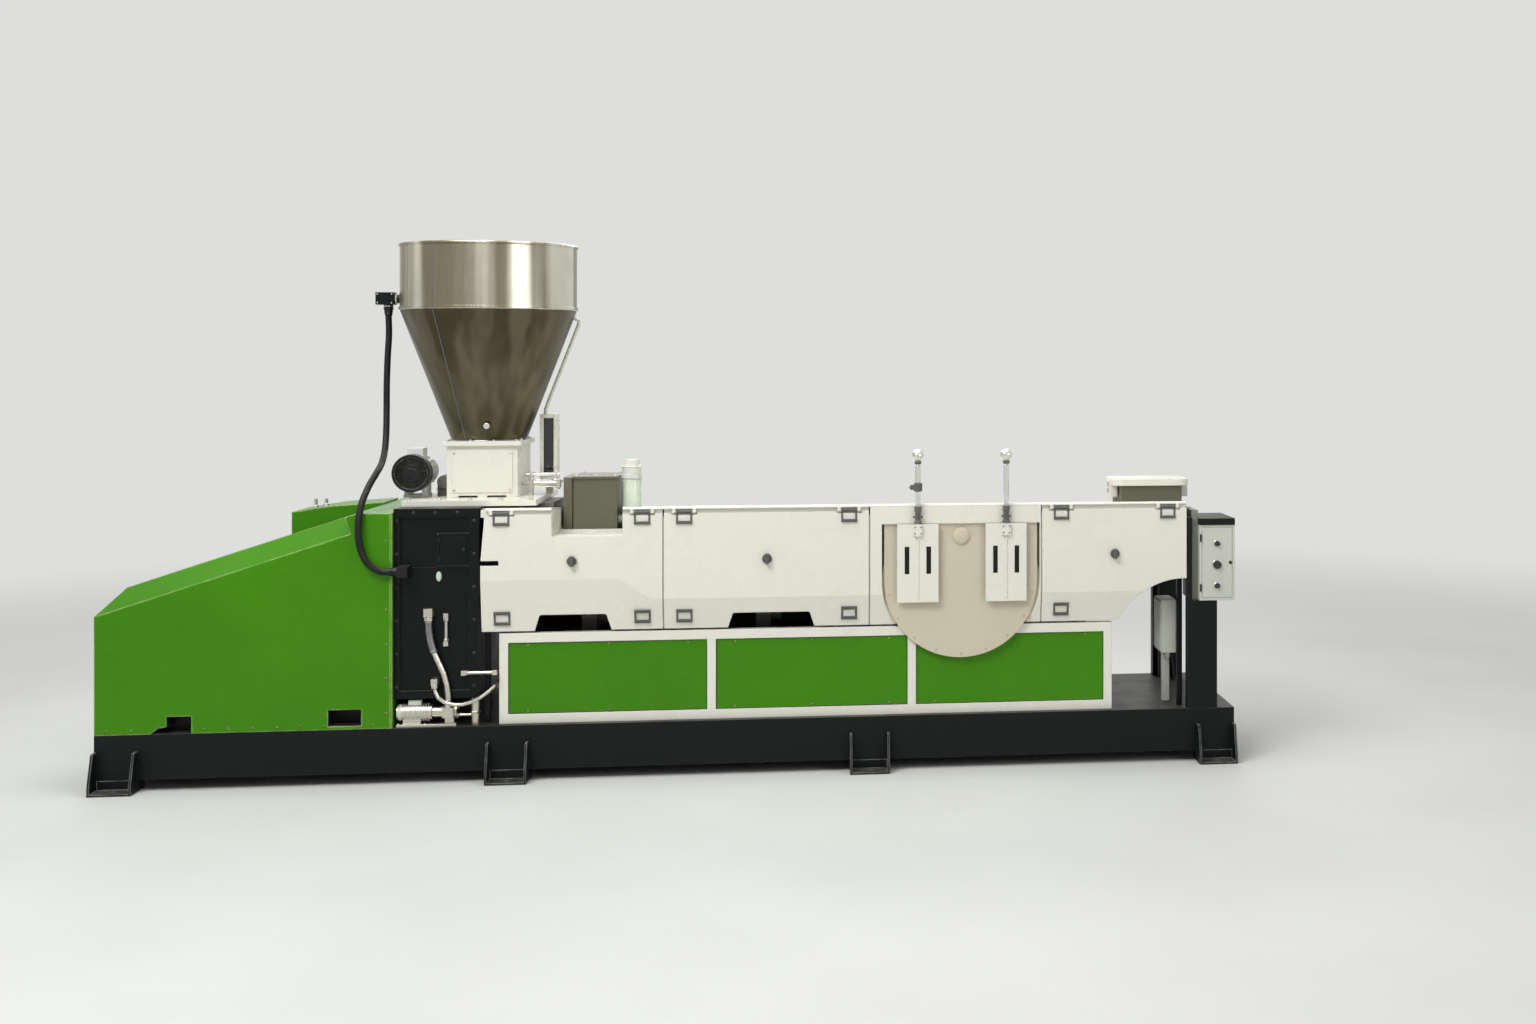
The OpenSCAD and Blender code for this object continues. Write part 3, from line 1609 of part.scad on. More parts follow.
// Junction box on its post, with two cable glands below
module junction_box() {
    color([0.6, 0.61, 0.58]) {
        block(junction_x - 6, junction_x, -junction_w / 2 + junction_y + 12, junction_w / 2 + junction_y - 12,
            junction_z + 12, junction_z + junction_h - 12);
        for (y = [junction_y - 60, junction_y + 60])
            bar_z(junction_x + junction_t / 2, y, junction_z - 30, junction_z + 1, 14);
        block(junction_x, junction_x + junction_t, -junction_w / 2 + junction_y, junction_w / 2 + junction_y,
            junction_z, junction_z + junction_h);
        block(junction_x + 20, junction_x + junction_t - 20, junction_y - 20, junction_y + 20, base_top, junction_z);
    }
}

// Cable from the hopper's sensor to the gearbox cover, swept along points set by hand

cable_r = 17;
gland_x0 = gear_x0 + recess_in + 1;
gland_l = 55;
cable_z = 1100;
cable_y = -550;
cable_route = [
    [-1640, 0, 2478],
    [-1640, 0, 2430],
    [-1638, 0, 2330],
    [-1644, -4, 2200],
    [-1647, -10, 2060],
    [-1645, -22, 1920],
    [-1639, -55, 1800],
    [-1628, -130, 1705],
    [-1618, -240, 1640],
    [-1620, -350, 1592],
    [-1632, -450, 1532],
    [-1646, -530, 1450],
    [-1655, -560, 1350],
    [-1650, -562, 1250],
    [-1624, -560, 1170],
    [-1580, -555, 1120],
    [-1530, -550, 1100],
    [-1464, -550, 1100]
];

module cable_gland() {
    color([0.1, 0.1, 0.1])
        block(gland_x0, gland_x0 + gland_l, cable_y - 25, -gear_w / 2 + gear_recess, cable_z - 28, cable_z + 28);
}

module sensor_cable() {
    color([0.05, 0.05, 0.05])
        tube(cable_route, cable_r);
}

base_rails();
base_deck();
foot_brackets();
motor_hood();
hood_vent_box();
gearbox_cover();
oil_pump();
top_plate();
feed_casting();
feed_box();
hopper_cone();
hopper_cylinder();
hopper_sensor();
feeder_motor();
feeder_gear();
gate_cylinder();
sight_gauge();
barrel();
heater_bands();
blowers();
barrel_supports();
guard_roof();
guard_posts();
guard_door_1();
guard_door_2();
guard_door_3();
door_fittings_1();
door_fittings_2();
door_fittings_3();
rear_guard();
side_frames();
front_panels();
rear_panels();
filter_body();
filter_frame();
filter_cover();
guide_studs();
slide_plate_left();
slide_plate_right();
vent_box();
vent_trap();
melt_pipe();
outlet_flange();
end_posts();
control_box();
control_buttons();
control_column();
cap_box();
cap_lid();
junction_box();
cable_gland();
sensor_cable();
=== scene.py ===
import json
import math

import bmesh
import bpy
from mathutils import Matrix, Vector


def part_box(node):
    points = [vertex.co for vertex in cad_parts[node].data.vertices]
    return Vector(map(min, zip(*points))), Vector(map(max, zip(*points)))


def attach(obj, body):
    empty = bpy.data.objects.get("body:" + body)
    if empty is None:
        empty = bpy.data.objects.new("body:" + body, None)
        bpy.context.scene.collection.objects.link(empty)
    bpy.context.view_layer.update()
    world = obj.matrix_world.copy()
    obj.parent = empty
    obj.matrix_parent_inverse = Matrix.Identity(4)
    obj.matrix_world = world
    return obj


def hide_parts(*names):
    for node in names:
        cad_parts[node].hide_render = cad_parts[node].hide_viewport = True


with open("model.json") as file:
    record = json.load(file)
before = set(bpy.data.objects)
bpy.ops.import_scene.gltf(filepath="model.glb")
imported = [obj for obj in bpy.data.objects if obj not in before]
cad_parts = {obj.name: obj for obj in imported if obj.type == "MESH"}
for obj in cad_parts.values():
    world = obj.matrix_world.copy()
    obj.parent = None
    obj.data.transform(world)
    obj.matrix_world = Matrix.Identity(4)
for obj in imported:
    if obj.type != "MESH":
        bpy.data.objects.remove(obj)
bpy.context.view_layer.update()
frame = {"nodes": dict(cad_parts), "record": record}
nodes = frame["nodes"]
materials = {}  # filled by Graph.finish

# Camera: level, where the photograph was taken from, turned and zoomed to the machine

CAMERA_AT = (0.695, -9.673, 2.2)
CAMERA_YAW = 7.0
CAMERA_LENS = 40.0
CAMERA_SHIFT = (-0.17, -0.1)


def add_camera():
    data = bpy.data.cameras.new("camera")
    data.sensor_width = 36
    data.lens = CAMERA_LENS
    data.shift_x, data.shift_y = CAMERA_SHIFT
    camera = bpy.data.objects.new("camera", data)
    camera.location = CAMERA_AT
    camera.rotation_euler = (math.radians(90), 0, -math.radians(CAMERA_YAW))
    bpy.context.scene.collection.objects.link(camera)
    bpy.context.scene.camera = camera


add_camera()

# Mesh making

X, Y, Z = Vector((1, 0, 0)), Vector((0, 1, 0)), Vector((0, 0, 1))
FRONT = -Y


def circle(sides, start=0.0):
    return [start + 2 * math.pi * k / sides for k in range(sides)]


def inset(outline, width):
    """The closed outline (pairs, anticlockwise) moved inwards by a width, with mitred corners."""
    moved = []
    for i, here in enumerate(outline):
        here = Vector(here)
        before = (here - Vector(outline[i - 1])).normalized()
        after = (Vector(outline[(i + 1) % len(outline)]) - here).normalized()
        inwards = Vector((-before.y, before.x)) + Vector((-after.y, after.x))
        moved.append(here + inwards * (2 * width / inwards.length_squared))
    return moved


def rectangle(x0, x1, z0, z1):
    return [(x0, z0), (x1, z0), (x1, z1), (x0, z1)]


class Shape:
    """A piece's mesh, put together from simple forms."""

    def __init__(self):
        self.mesh = bmesh.new()

    def join(self, rings, loop=False):
        """Skin over rings of points; closed at both ends, or joined end to start."""
        rows = [[self.mesh.verts.new(point) for point in ring] for ring in rings]
        count = len(rows[0])
        for row, following in zip(rows, rows[1:] + rows[:1] if loop else rows[1:]):
            for k in range(count):
                after = (k + 1) % count
                self.mesh.faces.new((row[k], row[after], following[after], following[k]))
        if not loop:
            self.mesh.faces.new(rows[0][::-1])
            self.mesh.faces.new(rows[-1])
        return self

    def block(self, low, high, bevel=0.0):
        """A box between two opposite corners, with its edges rounded."""
        low, high = [[pick(pair) for pair in zip(low, high)] for pick in (min, max)]
        made = bmesh.ops.create_cube(self.mesh, size=1)["verts"]
        for vert in made:
            vert.co = [low[i] + (vert.co[i] + 0.5) * (high[i] - low[i]) for i in range(3)]
        if bevel:
            edges = list({edge for vert in made for edge in vert.link_edges})
            bmesh.ops.bevel(self.mesh, geom=edges, offset=bevel, segments=2, affect="EDGES", profile=0.5)
        return self

    def prism(self, outline, along):
        """A closed outline of points, pushed along a vector."""
        points = [Vector(point) for point in outline]
        return self.join([points, [point + along for point in points]])

    def plate(self, outline, y0, y1):
        """An outline of (x, z) pairs as a plate between two depths."""
        return self.prism([(x, y0, z) for x, z in outline], Y * (y1 - y0))

    def rim(self, outline, width, y0, y1):
        """A band of a width along the inside of an outline of (x, z) pairs."""
        return self.join([[(a[0], y0, a[1]), (b[0], y0, b[1]), (b[0], y1, b[1]), (a[0], y1, a[1])]
                          for a, b in zip(outline, inset(outline, width))], loop=True)

    def turned(self, at, axis, profile, sides=32, loop=False):
        """A form turned about an axis; its profile holds (way along the axis, radius)."""
        turn = Z.rotation_difference(axis).to_matrix()
        return self.join([[Vector(at) + turn @ Vector((r * math.cos(a), r * math.sin(a), along)) for a in circle(sides)]
                          for along, r in profile], loop)

    def rod(self, start, end, radius, edge=0.001, sides=20):
        """A round bar between two points, its ends broken."""
        way = Vector(end) - Vector(start)
        length = way.length
        profile = [(0, radius - edge), (edge, radius), (length - edge, radius), (length, radius - edge)]
        return self.turned(start, way.normalized(), profile, sides)

    def ring(self, at, axis, radius, wire, sides=32):
        """A wire bent to a circle."""
        profile = [(wire * math.sin(a), radius + wire * math.cos(a)) for a in circle(8)]
        return self.turned(at, axis, profile, sides, loop=True)

    def ball(self, at, radius, sides=32):
        angles = [math.pi * (k + 0.5) / 16 for k in range(16)]
        return self.turned(at, Z, [(-radius * math.cos(a), radius * math.sin(a)) for a in angles], sides)

    def bolt(self, at, axis, radius):
        """A hexagon bolt's head on its washer."""
        self.turned(at, axis, [(0, radius * 1.45), (radius * 0.25, radius * 1.45)], 16)
        head = [(radius * 0.25, radius), (radius * 0.9, radius), (radius * 1.05, radius * 0.85)]
        return self.turned(at, axis, head, 6)

    def screw(self, at, axis, radius):
        """A round screw head with a sunk socket."""
        profile = [(0, radius), (radius * 0.3, radius), (radius * 0.6, radius * 0.8), (radius * 0.65, radius * 0.45),
                   (radius * 0.2, radius * 0.4)]
        return self.turned(at, axis, profile, 12)

    def sweep(self, path, radius, sides=16):
        """A round bar along a path."""
        across = Y
        rings = []
        for i, place in enumerate(path):
            heading = (path[min(i + 1, len(path) - 1)] - path[max(i - 1, 0)]).normalized()
            across = (across - heading * across.dot(heading)).normalized()
            other = heading.cross(across)
            rings.append([place + radius * (math.cos(a) * across + math.sin(a) * other) for a in circle(sides)])
        return self.join(rings)

    def piece(self, name, material, body="machine", slot=None):
        """The finished object, smooth but for its sharp edges, riding on its body."""
        bmesh.ops.recalc_face_normals(self.mesh, faces=self.mesh.faces)
        data = bpy.data.meshes.new(name)
        self.mesh.to_mesh(data)
        self.mesh.free()
        data.shade_smooth()
        data.set_sharp_from_angle(angle=math.radians(32))
        data.materials.append(materials[material])
        made = bpy.data.objects.new(name, data)
        bpy.context.scene.collection.objects.link(made)
        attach(made, body)
        return made


# Materials

def linear(red, green, blue):
    """A colour given as 0 to 255, as the shader wants it."""
    def one(v):
        v /= 255
        return v / 12.92 if v <= 0.04045 else ((v + 0.055) / 1.055) ** 2.4
    return (one(red), one(green), one(blue), 1)


class Graph:
    """Short calls to add and link a material's nodes."""

    def __init__(self, name):
        self.name = name
        self.material = bpy.data.materials.new(name)
        self.material.use_nodes = True
        self.tree = self.material.node_tree
        self.tree.nodes.clear()
        self.out = self.add("ShaderNodeOutputMaterial")
        self.coords = self.add("ShaderNodeTexCoord").outputs["Object"]

    def add(self, kind, inputs=None, **settings):
        node = self.tree.nodes.new(kind)
        for key, value in settings.items():
            setattr(node, key, value)
        for key, value in (inputs or {}).items():
            self.plug(node, key, value)
        return node

    def plug(self, node, key, value):
        if isinstance(value, bpy.types.NodeSocket):
            self.tree.links.new(value, node.inputs[key])
        else:
            node.inputs[key].default_value = value

    def noise(self, scale, detail=3.0, stretch=(1, 1, 1)):
        """Noise in the object's own metres: scale is how many blobs a metre."""
        place = self.add("ShaderNodeMapping", {"Vector": self.coords, "Scale": stretch})
        inputs = {"Vector": place.outputs[0], "Scale": scale, "Detail": detail}
        return self.add("ShaderNodeTexNoise", inputs).outputs[0]

    def height(self):
        return self.add("ShaderNodeSeparateXYZ", {0: self.coords}).outputs["Z"]

    def ramp(self, value, low, high, out_low=0.0, out_high=1.0):
        inputs = {0: value, 1: low, 2: high, 3: out_low, 4: out_high}
        return self.add("ShaderNodeMapRange", inputs, interpolation_type="SMOOTHSTEP").outputs[0]

    def times(self, a, b):
        return self.add("ShaderNodeMath", {0: a, 1: b}, operation="MULTIPLY").outputs[0]

    def mix(self, factor, a, b):
        node = self.add("ShaderNodeMix", data_type="RGBA")
        self.plug(node, 0, factor)
        self.plug(node, 6, a)
        self.plug(node, 7, b)
        return node.outputs[2]

    def bump(self, height, strength, distance, normal=None):
        inputs = {"Height": height, "Strength": strength, "Distance": distance}
        if normal is not None:
            inputs["Normal"] = normal
        return self.add("ShaderNodeBump", inputs).outputs[0]

    def rounded(self, radius):
        return self.add("ShaderNodeBevel", {"Radius": radius}, samples=4).outputs[0]

    def finish(self, **inputs):
        shader = self.add("ShaderNodeBsdfPrincipled", {k.replace("_", " "): v for k, v in inputs.items()})
        self.tree.links.new(shader.outputs[0], self.out.inputs[0])
        materials[self.name] = self.material


def shade(colour, factor):
    return tuple(c * factor for c in colour[:3]) + (1,)


DUST = linear(168, 162, 146)


def dusty(g, colour, amount):
    """Colour with a thin layer of dust on what faces up, thicker in patches."""
    normal = g.add("ShaderNodeNewGeometry").outputs["Normal"]
    up = g.add("ShaderNodeSeparateXYZ", {0: normal}).outputs["Z"]
    patches = g.ramp(g.noise(3.2, 5), 0.35, 0.75, 0.35, 1.0)
    layer = g.times(g.ramp(up, 0.4, 1.0, 0.0, amount), patches)
    return g.mix(layer, colour, DUST)


def paint(name, colour, rough=0.35, edge=None, dust=0.3, variation=0.06, edge_radius=0.004, gloss=0.25):
    """Sprayed paint: soft cloudy tone, orange peel, pale edges that are partly worn paint and partly a painted
    highlight, and some dust on top.
    """
    g = Graph(name)
    cloud = g.ramp(g.noise(1.4, 4), 0.3, 0.7)
    tone = g.mix(cloud, shade(colour, 1 - variation), shade(colour, 1 + variation))
    round_edge = g.rounded(edge_radius)
    true_normal = g.add("ShaderNodeNewGeometry").outputs["Normal"]
    turn = g.add("ShaderNodeVectorMath", {0: round_edge, 1: true_normal}, operation="DOT_PRODUCT").outputs["Value"]
    # Pale edges where the bevel normal turns from the true one: partly wear, broken up by noise, and partly a painted
    # highlight along edges and bends.
    worn_and_highlight_edge = g.times(g.ramp(turn, 0.99, 0.85), g.ramp(g.noise(18, 4), 0.3, 0.6, 0.4, 1.0))
    tone = g.mix(worn_and_highlight_edge, tone, edge or shade(colour, 1.1))
    tone = dusty(g, tone, dust)
    sheen = g.ramp(g.noise(5, 5), 0.3, 0.7, rough - 0.05, rough + 0.07)
    normal = g.bump(g.noise(420, 2), 0.12, 0.0006, round_edge)
    g.finish(Base_Color=tone, Roughness=sheen, Normal=normal, Specular_IOR_Level=gloss)


def metal(name, colour, rough=0.3, grain=(1, 1, 60), variation=0.12):
    """Bare metal with a fine grain along one direction and cloudy tarnish."""
    g = Graph(name)
    streak = g.noise(6, 3, grain)
    cloud = g.ramp(g.noise(2.2, 5), 0.3, 0.75)
    tone = g.mix(cloud, shade(colour, 1 - variation), shade(colour, 1 + variation * 0.5))
    tone = g.mix(g.ramp(streak, 0.3, 0.7, 0.0, 0.25), tone, shade(colour, 0.8))
    sheen = g.ramp(streak, 0.25, 0.75, rough - 0.06, rough + 0.1)
    normal = g.bump(streak, 0.08, 0.0004, g.rounded(0.002))
    g.finish(Base_Color=tone, Metallic=1.0, Roughness=sheen, Normal=normal)


def hopper_steel(name):
    """Rolled stainless sheet with painted reflections: upright bright and dark bands painted on the cylinder, and down
    the cone a darker, browner tone painted as a reflection of the floor.
    """
    g = Graph(name)
    joint_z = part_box("hopper_cone")[1].z
    upper = g.ramp(g.height(), joint_z - 0.002, joint_z + 0.002)
    # Painted reflection: upright bands on the cylinder, and a darker, browner cone standing in for the floor it
    # reflects.
    bands = g.ramp(g.noise(7, 2, (1, 1, 0.03)), 0.38, 0.62)
    bright = g.mix(bands, linear(140, 132, 112), linear(226, 223, 208))
    dull = g.mix(bands, linear(70, 65, 50), linear(104, 98, 80))
    smear = g.ramp(g.noise(3, 5), 0.3, 0.75, 0.0, 0.3)
    tone = g.mix(smear, g.mix(upper, dull, bright), linear(116, 110, 92))
    brush = g.noise(60, 3, (6, 6, 0.08))
    sheen = g.ramp(brush, 0.25, 0.75, 0.26, 0.4)
    normal = g.bump(brush, 0.1, 0.0004, g.rounded(0.002))
    g.finish(Base_Color=tone, Metallic=1.0, Roughness=sheen, Normal=normal)


def rubber(name, colour, rough=0.55):
    """Rubber or plastic with a dull, slightly uneven skin."""
    g = Graph(name)
    tone = g.mix(g.ramp(g.noise(30, 4), 0.3, 0.7), shade(colour, 0.8), shade(colour, 1.35))
    sheen = g.ramp(g.noise(14, 4), 0.3, 0.7, rough - 0.1, rough + 0.12)
    grain = g.bump(g.noise(600, 2), 0.15, 0.0005)
    g.finish(Base_Color=dusty(g, tone, 0.15), Roughness=sheen, Normal=grain, Specular_IOR_Level=0.3)


def glossy(name, colour, rough=0.1):
    """Smooth plastic or glass with a wet shine and faint smears."""
    g = Graph(name)
    smear = g.ramp(g.noise(9, 5), 0.35, 0.75)
    tone = g.mix(smear, colour, shade(colour, 1.2))
    sheen = g.ramp(smear, 0.0, 1.0, rough, rough + 0.12)
    g.finish(Base_Color=tone, Roughness=sheen, Coat_Weight=0.6, Coat_Roughness=0.06)


WHITE = linear(226, 224, 212)
GREEN = linear(62, 128, 1)
BASE_BLACK = linear(17, 22, 21)
# A pale steel grey for the lighter edges of the foot brackets.
PALE_EDGE_STEEL = linear(150, 152, 146)

# The base's lighter edge colour is partly a painted highlight along its top flange.
paint("base_paint", BASE_BLACK, rough=0.42, edge=linear(70, 74, 72), dust=0.16, gloss=0.15)
paint("foot_paint", BASE_BLACK, rough=0.42, edge=PALE_EDGE_STEEL, dust=0.2, edge_radius=0.009, gloss=0.15)
# The green paint's pale edge colour is mostly a painted highlight along the hood's rounded bends and crests.
paint("green_paint", GREEN, rough=0.3, edge=linear(206, 224, 150), dust=0.06, edge_radius=0.010, gloss=0.2)
paint("black_paint", linear(14, 18, 18), rough=0.36, edge=linear(58, 62, 60), dust=0.12, gloss=0.15)
metal("fittings", linear(206, 202, 190), rough=0.3, grain=(1, 1, 6))
paint("white_paint", WHITE, rough=0.28, edge=linear(242, 241, 232), dust=0.05, variation=0.015,
      edge_radius=0.006, gloss=0.35)
paint("casting", linear(104, 104, 98), rough=0.55, edge=linear(150, 150, 142), dust=0.2)
hopper_steel("stainless")
paint("pale_grey", linear(206, 208, 200), rough=0.4, dust=0.15)
metal("steel", linear(138, 138, 140), rough=0.3, grain=(1, 1, 12))
metal("polished", linear(232, 232, 226), rough=0.1, grain=(1, 1, 4), variation=0.04)
metal("heater_sheet", linear(190, 186, 176), rough=0.42, grain=(1, 12, 12))
paint("black_steel", linear(30, 31, 30), rough=0.42, edge=linear(84, 84, 80), dust=0.06, gloss=0.2)
paint("door_steel", linear(92, 92, 87), rough=0.4, edge=linear(168, 168, 160), dust=0.1, edge_radius=0.002)
paint("beige_paint", linear(203, 193, 171), rough=0.36, dust=0.08, variation=0.03)
paint("olive_paint", linear(98, 96, 80), rough=0.45, edge=linear(140, 140, 124), dust=0.15)
# A darker copy of the grey paint, used on the control column.
paint("darker_grey_paint", linear(132, 134, 120), rough=0.45, dust=0.15)
paint("grey_paint", linear(200, 203, 190), rough=0.38, dust=0.08)
rubber("button_plastic", linear(18, 18, 18), rough=0.35)
rubber("cable_rubber", linear(14, 15, 14))
glossy("dark_glass", linear(18, 20, 17))
glossy("trap_sleeve", linear(190, 204, 186), rough=0.2)

MATERIAL_OF = {
    "foot_brackets": "foot_paint", "door_fittings_1": "door_steel", "door_fittings_2": "door_steel",
    "door_fittings_3": "door_steel", "hopper_sensor": "black_paint", "control_column": "darker_grey_paint",
}

for row in frame["record"]["subparts"]:
    node_data = nodes[row["node"]].data
    node_data.materials.clear()
    node_data.materials.append(materials[MATERIAL_OF.get(row["node"], row["material_slot"])])

# Sensor cable, along the same points as its solid

CABLE_RADIUS = 0.017
CABLE_ROUTE = [
    (-1.640, 0.000, 2.478),
    (-1.640, 0.000, 2.430),
    (-1.638, 0.000, 2.330),
    (-1.644, -0.004, 2.200),
    (-1.647, -0.010, 2.060),
    (-1.645, -0.022, 1.920),
    (-1.639, -0.055, 1.800),
    (-1.628, -0.130, 1.705),
    (-1.618, -0.240, 1.640),
    (-1.620, -0.350, 1.592),
    (-1.632, -0.450, 1.532),
    (-1.646, -0.530, 1.450),
    (-1.655, -0.560, 1.350),
    (-1.650, -0.562, 1.250),
    (-1.624, -0.560, 1.170),
    (-1.580, -0.555, 1.120),
    (-1.530, -0.550, 1.100),
    (-1.464, -0.550, 1.100),
]
RELIEF_LENGTH = 0.045
GRIP_RINGS = 5
GRIP_PITCH, GRIP_TAPER, GRIP_DEPTH = 0.006, 0.0008, 0.002


def smooth_path(points, steps=6):
    """Points along a smooth line through the given ones, Catmull-Rom."""
    places = [Vector(p) for p in points]
    ends = [2 * places[0] - places[1]] + places + [2 * places[-1] - places[-2]]
    path = []
    for i in range(1, len(ends) - 2):
        before, start, end, after = ends[i - 1:i + 3]
        for k in range(steps):
            t = k / steps
            path.append(0.5 * (2 * start + (end - before) * t + (2 * before - 5 * start + 4 * end - after) * t ** 2
                               + (3 * start - before - 3 * end + after) * t ** 3))
    return path + [places[-1]]


def add_cable():
    path = smooth_path(CABLE_ROUTE)
    cable = Shape().sweep(path, CABLE_RADIUS).piece("cable", "cable_rubber")
    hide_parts("sensor_cable")


def add_strain_reliefs():
    """A tapered sleeve with grip rings round the cable at each end."""
    shape = Shape()
    bore = CABLE_RADIUS - 0.0005
    profile = [(0, 0.026), (0.010, 0.026), (0.012, 0.023)]
    for k in range(GRIP_RINGS):
        along, ring = 0.014 + k * GRIP_PITCH, 0.0235 - k * GRIP_TAPER
        profile += [(along, ring), (along + 0.003, ring), (along + 0.004, ring - GRIP_DEPTH)]
    profile += [(RELIEF_LENGTH, 0.0185), (RELIEF_LENGTH, bore), (0, bore)]
    for start, way in ((CABLE_ROUTE[0], -Z), (CABLE_ROUTE[-1], -X)):
        shape.turned(start, way, profile, 24, loop=True)
    shape.piece("strain_reliefs", "button_plastic")


add_cable()
add_strain_reliefs()

# Motor hood

HOOD_HALF_WIDTH = 0.525
PORT_DEPTH = 0.118
PORT_SHADE_THICKNESS = 0.002
HOOD_SCREW = 0.006


def hood_ports(hood_low, hood_high):
    """Outlines of the two openings in the hood's side, as pairs of x and z."""
    base = hood_low.z
    left, right = hood_low.x + 0.348, hood_high.x - 0.319
    return [
        [(left - 0.079, base), (left + 0.121, base), (left + 0.121, base + 0.088), (left, base + 0.088),
         (left, base + 0.037), (left - 0.040, base + 0.030)],
        rectangle(right, right + 0.165, base + 0.018, base + 0.102),
    ]


def add_hood_details():
    """Black plates painted as the shade inside the cable ports, and the screws along the hood's foot and its rear edge.
    """
    low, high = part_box("motor_hood")
    port_shade, screws = Shape(), Shape()
    for outline in hood_ports(low, high):
        for side in (-1, 1):
            face, back = side * HOOD_HALF_WIDTH, side * (HOOD_HALF_WIDTH - PORT_DEPTH)
            # Black plates on the walls and back of each port: painted shade inside the opening.
            port_shade.rim(inset(outline, 0.0005), PORT_SHADE_THICKNESS, face - side * 0.001, back)
            port_shade.plate(inset(outline, 0.001), back, back + side * PORT_SHADE_THICKNESS)
    port_shade.piece("hood_port_painted_shade", "black_steel")
    at_ports = [(low.x + 0.24, low.x + 0.50), (high.x - 0.33, high.x - 0.14)]
    foot_row = [low.x + 0.06 + k * 0.118 for k in range(12)]
    places = [(x, low.z + 0.022) for x in foot_row if not any(start < x < end for start, end in at_ports)]
    places += [(high.x - 0.032, low.z + 0.08 + k * 0.178) for k in range(6)]
    for side in (-1, 1):
        for x, z in places:
            screws.screw((x, side * HOOD_HALF_WIDTH, z), Y * side, HOOD_SCREW)
    screws.piece("hood_screws", "green_paint")


def add_hood_vent_details():
    """Washers and nuts on the vent box's lifting studs, and black strips on its end, painted as the shade in its slots.
    """
    low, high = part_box("hood_vent_box")
    shape = Shape()
    lid_foot_z, lid_rise, lid_length = high.z - 0.066, 0.032, 0.210
    for offset in (0.110, 0.165):
        stud = Vector((low.x + offset, low.y + 0.060, lid_foot_z + lid_rise * offset / lid_length))
        shape.turned(stud - Z * 0.003, Z, [(0, 0.020), (0.008, 0.020)], 20)
        shape.turned(stud, Z, [(0.004, 0.0165), (0.014, 0.0165), (0.016, 0.0135)], 6)
        shape.turned(stud, Z, [(0.016, 0.0094), (high.z - stud.z, 0.0094)], 16)
    shape.piece("vent_box_studs", "fittings")
    slot_shade = Shape()
    # Black strips on the box's end: painted shade standing in for the dark insides of the slots.
    for k in range(5):
        z = low.z + 0.030 + k * 0.016
        slot_shade.block((low.x - 0.0015, low.y + 0.03, z), (low.x + 0.002, high.y - 0.03, z + 0.006), 0.0006)
    slot_shade.piece("vent_box_slot_shade", "black_steel")


# Gearbox and oil pump

GEAR_FACE_Y = -0.486
GEAR_FRAME_Y = 0.5
FRAME_BOLT = 0.0065


def add_gearbox_details():
    """Frame bolts and a hatch with its latch and hinge rods, on both faces of the cover."""
    low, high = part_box("gearbox_cover")
    frame_bolts, hatch, trim = Shape(), Shape(), Shape()
    hatch_x0, hatch_x1 = high.x - 0.214, high.x - 0.054
    hatch_z0, hatch_z1 = low.z + 0.680, low.z + 0.856
    inner, lip, hinge_x = 0.012, 0.005, hatch_x0 + 0.012
    for side in (-1, 1):
        face, frame_y = side * -GEAR_FACE_Y, side * GEAR_FRAME_Y
        hatch_y = face + side * lip
        way = Y * side
        for k in range(6):
            for x in (low.x + 0.015, high.x - 0.025):
                frame_bolts.bolt((x, frame_y, low.z + 0.06 + k * 0.172), way, FRAME_BOLT)
        for k in range(3):
            frame_bolts.bolt((low.x + 0.1 + k * 0.11, frame_y, high.z - 0.022), way, FRAME_BOLT)
        hatch.block((hatch_x0 + inner, face - side * 0.001, hatch_z0 + inner),
                    (hatch_x1 - inner, hatch_y, hatch_z1 - inner), 0.0015)
        for x in (hatch_x0 + 0.005, hatch_x1 - 0.005):
            for z in (hatch_z0 + 0.005, hatch_z1 - 0.005):
                trim.screw((x, face + side * 0.008, z), way, 0.0038)
        latch_x, latch_z = hatch_x1 - 0.026, (hatch_z0 + hatch_z1) / 2
        trim.turned((latch_x, hatch_y, latch_z), way, [(0, 0.010), (0.003, 0.010), (0.004, 0.007), (0.005, 0.007)], 20)
        trim.block((latch_x - 0.0022, hatch_y, latch_z - 0.008),
                   (latch_x + 0.0022, hatch_y + side * 0.009, latch_z + 0.008), 0.001)
        hinge_y = face + side * 0.006
        for z in (hatch_z0 + 0.040, hatch_z1 - 0.040):
            trim.rod((hinge_x, hinge_y, z - 0.012), (hinge_x, hinge_y, z + 0.012), 0.004, sides=12)
    frame_bolts.piece("gearbox_bolts", "black_steel")
    hatch.piece("gearbox_hatches", "black_paint")
    trim.piece("hatch_trim", "black_steel")
    add_oil_glass(low.x + 0.225, low.z + 0.631)


def add_oil_glass(x, z):
    """Oval oil sight glass on the cover's face."""
    ovals = ((0.0, 0.014, 0.026), (0.006, 0.014, 0.026), (0.010, 0.0115, 0.0235), (0.011, 0.008, 0.020))
    rings = [[(x + half_w * math.cos(a), GEAR_FACE_Y - out, z + half_h * math.sin(a)) for a in circle(28)]
             for out, half_w, half_h in ovals]
    Shape().join(rings).piece("oil_glass", "trap_sleeve", slot="pale_grey")


RISER_Y = -0.517
DRAIN_Y = -0.546


